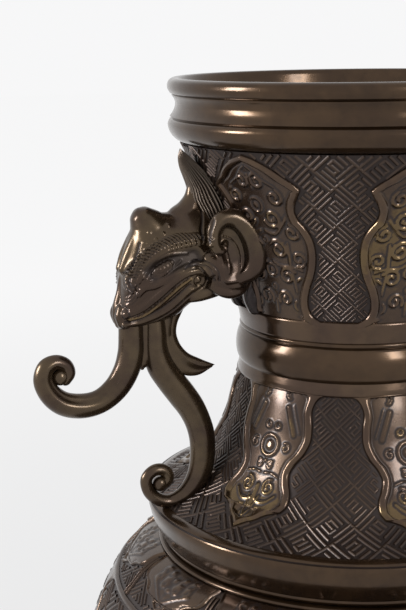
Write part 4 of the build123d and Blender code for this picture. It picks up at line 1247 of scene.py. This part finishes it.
trunk = bar([(95.7, 366, 5.1), (95.7, 361.8, 5.2), (96, 354.9, 5.4), (98.1, 347.7, 5.3), (102.8, 340.6, 5.1),
             (109.5, 336, 4.9), (118, 335.1, 5), (124.2, 336.9, 4.8),
             (129.7, 342.3, 4.3), (131.5, 347.5, 3.9), (129.7, 352.3, 3.5), (125.9, 353.6, 3),
             (122.4, 351.9, 2.8), (121.4, 348.6, 2.7), (122.8, 346.4, 2.5)], 200, crease=(0.2, 0.95))
arm = bar([(86.2, 368.8, 4.2), (86.2, 361.8, 4.9), (86, 354.9, 5.2), (84.2, 348.4, 5.6), (80.5, 342.3, 5.7),
           (75.5, 335.3, 5.8), (71.6, 329.4, 5.6), (68.9, 323.5, 5.4), (67.2, 317.4, 5.4), (66.8, 311.4, 5.3),
           (67.2, 305.6, 5.2), (68.7, 300.3, 4.9), (71.6, 295.7, 4.3), (76.1, 292, 3.5), (81.5, 290.5, 2.9),
           (86.8, 292.3, 2.7), (90.5, 296.6, 2.5), (90.9, 301.6, 2.5), (87.3, 304.6, 2.5),
           (83.1, 303.6, 2.6), (82, 300.4, 2.6), (83.6, 298.6, 2.4)], 230)
web = bar([(90.8, 369.4, 2.6), (90.8, 361, 2.9), (90.9, 355, 2.9), (91.2, 351, 2.6), (91.5, 348.9, 1.9),
           (91.7, 347.9, 0.9)], 50, columns=24, power=2.4)


def boss(out, up, radius, half):
    """The round eye that fills the middle of a scroll: a thick lens, half wide to either side."""
    t, angle = np.linspace(-0.99, 0.99, 17)[:, None], np.linspace(0, 2 * np.pi, 32, endpoint=False)[None, :]
    r = radius * (1 - t**2) ** 0.4
    return skin_over(np.stack([out + r * np.cos(angle), half * t + 0 * angle, up + r * np.sin(angle)], -1))


trunk_parts = [trunk, boss(124.8, 347.6, 3.3, 3.2)]
arm_parts = [arm, web, boss(85.4, 298.6, 3.1, 3)]
for side, turn in (("left", -1), ("right", 1)):
    for name, parts in (("trunk", trunk_parts), ("scroll_arm", arm_parts), ("leaf", [skin_over(around)])):
        turned_round = [closed(verts * (turn, turn, 1), faces) for verts, faces in parts]
        make_piece(f"{side}_{name}_chased", turned_round, HANDLE, [f"{side}_{name}"])
    verts, faces = skin_over(lock)
    make_piece(side + "_mane_chased", [closed(verts * (turn, turn, 1), faces)], LIGHTENED_MANE,
               marks={"patina_and_shade": hair_marks})

# %% [markdown]
# ## Floor, light and camera
# A plain pale floor meets a white sky, whose even light fills the shadows. One soft lamp stands at
# the left and a dimmer, taller one at the right, nearer to the camera, so that every smooth band
# carries one clear streak and one faint one. Rays from the camera and off the bronze see the pale
# colours of floor and sky, while the floor keeps part of its shadow under the vase. The floor's glow
# is painted darker near the vase and paler far away, a painted shade.

# %% Floor and sky
FLOOR_GLOW = 0.86  # how much of what is seen of the floor is plain colour; the rest carries the shadow
floor_mesh = bpy.data.meshes.new("floor")
floor_mesh.from_pydata([(-9, -9, 0), (9, -9, 0), (9, 9, 0), (-9, 9, 0)], [], [(0, 1, 2, 3)])
floor = bpy.data.objects.new("floor", floor_mesh)
scene.collection.objects.link(floor)
ground = Bench(bpy.data.materials.new("pale floor"))
matt = ground.add("ShaderNodeBsdfDiffuse", None, {"Color": (0.82, 0.82, 0.815)})
away = ground.add("ShaderNodeVectorMath", {"operation": "LENGTH"}, {0: ground.place()}, output=1)
# The glow is painted darker near the vase and paler far away: a painted shade on the floor.
pale = ground.tint(ground.step(away, 0.2, 2), (0.85, 0.85, 0.855), (1.02, 1.02, 1.025))
bright = ground.add("ShaderNodeEmission", None, {"Color": pale, "Strength": 1.0})
surface = ground.add("ShaderNodeMixShader", None, {0: ground.seen() * FLOOR_GLOW, 1: matt, 2: bright})
floor_mesh.materials.append(ground.finish("ShaderNodeOutputMaterial", surface))

sky = Bench(bpy.data.worlds.new("white room"))
lighting = sky.add("ShaderNodeBackground", None, {"Color": (1, 1, 1), "Strength": 0.42})
backdrop = sky.add("ShaderNodeBackground", None, {"Color": (0.93, 0.93, 0.935), "Strength": 1.0})
both_skies = sky.add("ShaderNodeMixShader", None, {0: sky.seen(), 1: lighting, 2: backdrop})
scene.world = sky.finish("ShaderNodeOutputWorld", both_skies)
print("floor and sky are ready")

# %% [markdown]
# ## The camera
# The camera stands where the photograph was taken from. Its place and its three small turns were
# fitted to the rims and bands in the photograph, so they are written as they came out.

# %% Camera and lamps
data = bpy.data.cameras.new("camera")
data.sensor_fit, data.sensor_width, data.sensor_height, data.lens = "AUTO", 36, 36, 73.92
data.clip_start, data.clip_end = 0.02, 60
camera = bpy.data.objects.new("camera", data)
scene.collection.objects.link(camera)
scene.camera = camera
TURN, DISTANCE, HEIGHT = 26, 0.513006, 0.478686  # degrees from the front, metres from the axis and the floor
YAW, PITCH, ROLL = -0.12148, 0.21702, -0.01469  # radians
bearing = YAW + math.radians(TURN)
ahead = Vector((math.sin(bearing) * math.cos(PITCH), math.cos(bearing) * math.cos(PITCH), -math.sin(PITCH)))
level = ahead.cross(Vector((0, 0, 1))).normalized()
right = math.cos(ROLL) * level + math.sin(ROLL) * level.cross(ahead)
above = right.cross(ahead)
camera.matrix_world = Matrix(((right.x, above.x, -ahead.x, -DISTANCE * math.sin(math.radians(TURN))),
                              (right.y, above.y, -ahead.y, -DISTANCE * math.cos(math.radians(TURN))),
                              (right.z, above.z, -ahead.z, HEIGHT), (0, 0, 0, 1)))
NECK_HEIGHT = 0.38  # metres above the floor


def lamp(name, to_right, ahead_of, up, width, height, power):
    """
    A rectangular lamp, placed by the camera's own compass in metres to the right of the axis,
    away from the camera and up, and turned so that its -Z faces the vase's neck.
    """
    data = bpy.data.lights.new(name, "AREA")
    data.shape, data.size, data.size_y, data.energy = "RECTANGLE", width, height, power
    light = bpy.data.objects.new(name, data)
    flat = Vector((ahead.x, ahead.y, 0)).normalized()
    light.location = Vector((level.x, level.y, 0)) * to_right + flat * ahead_of + Vector((0, 0, up))
    light.rotation_euler = (Vector((0, 0, NECK_HEIGHT)) - light.location).to_track_quat("-Z", "Y").to_euler()
    scene.collection.objects.link(light)


lamp("soft lamp at the left", -1.25, -0.22, 0.74, width=0.30, height=0.46, power=15)
lamp("dim lamp at the right", 0.74, -1.03, 0.86, width=0.28, height=0.55, power=7)
scene.view_settings.view_transform = "Standard"
print("camera at", [round(v, 3) for v in camera.location])
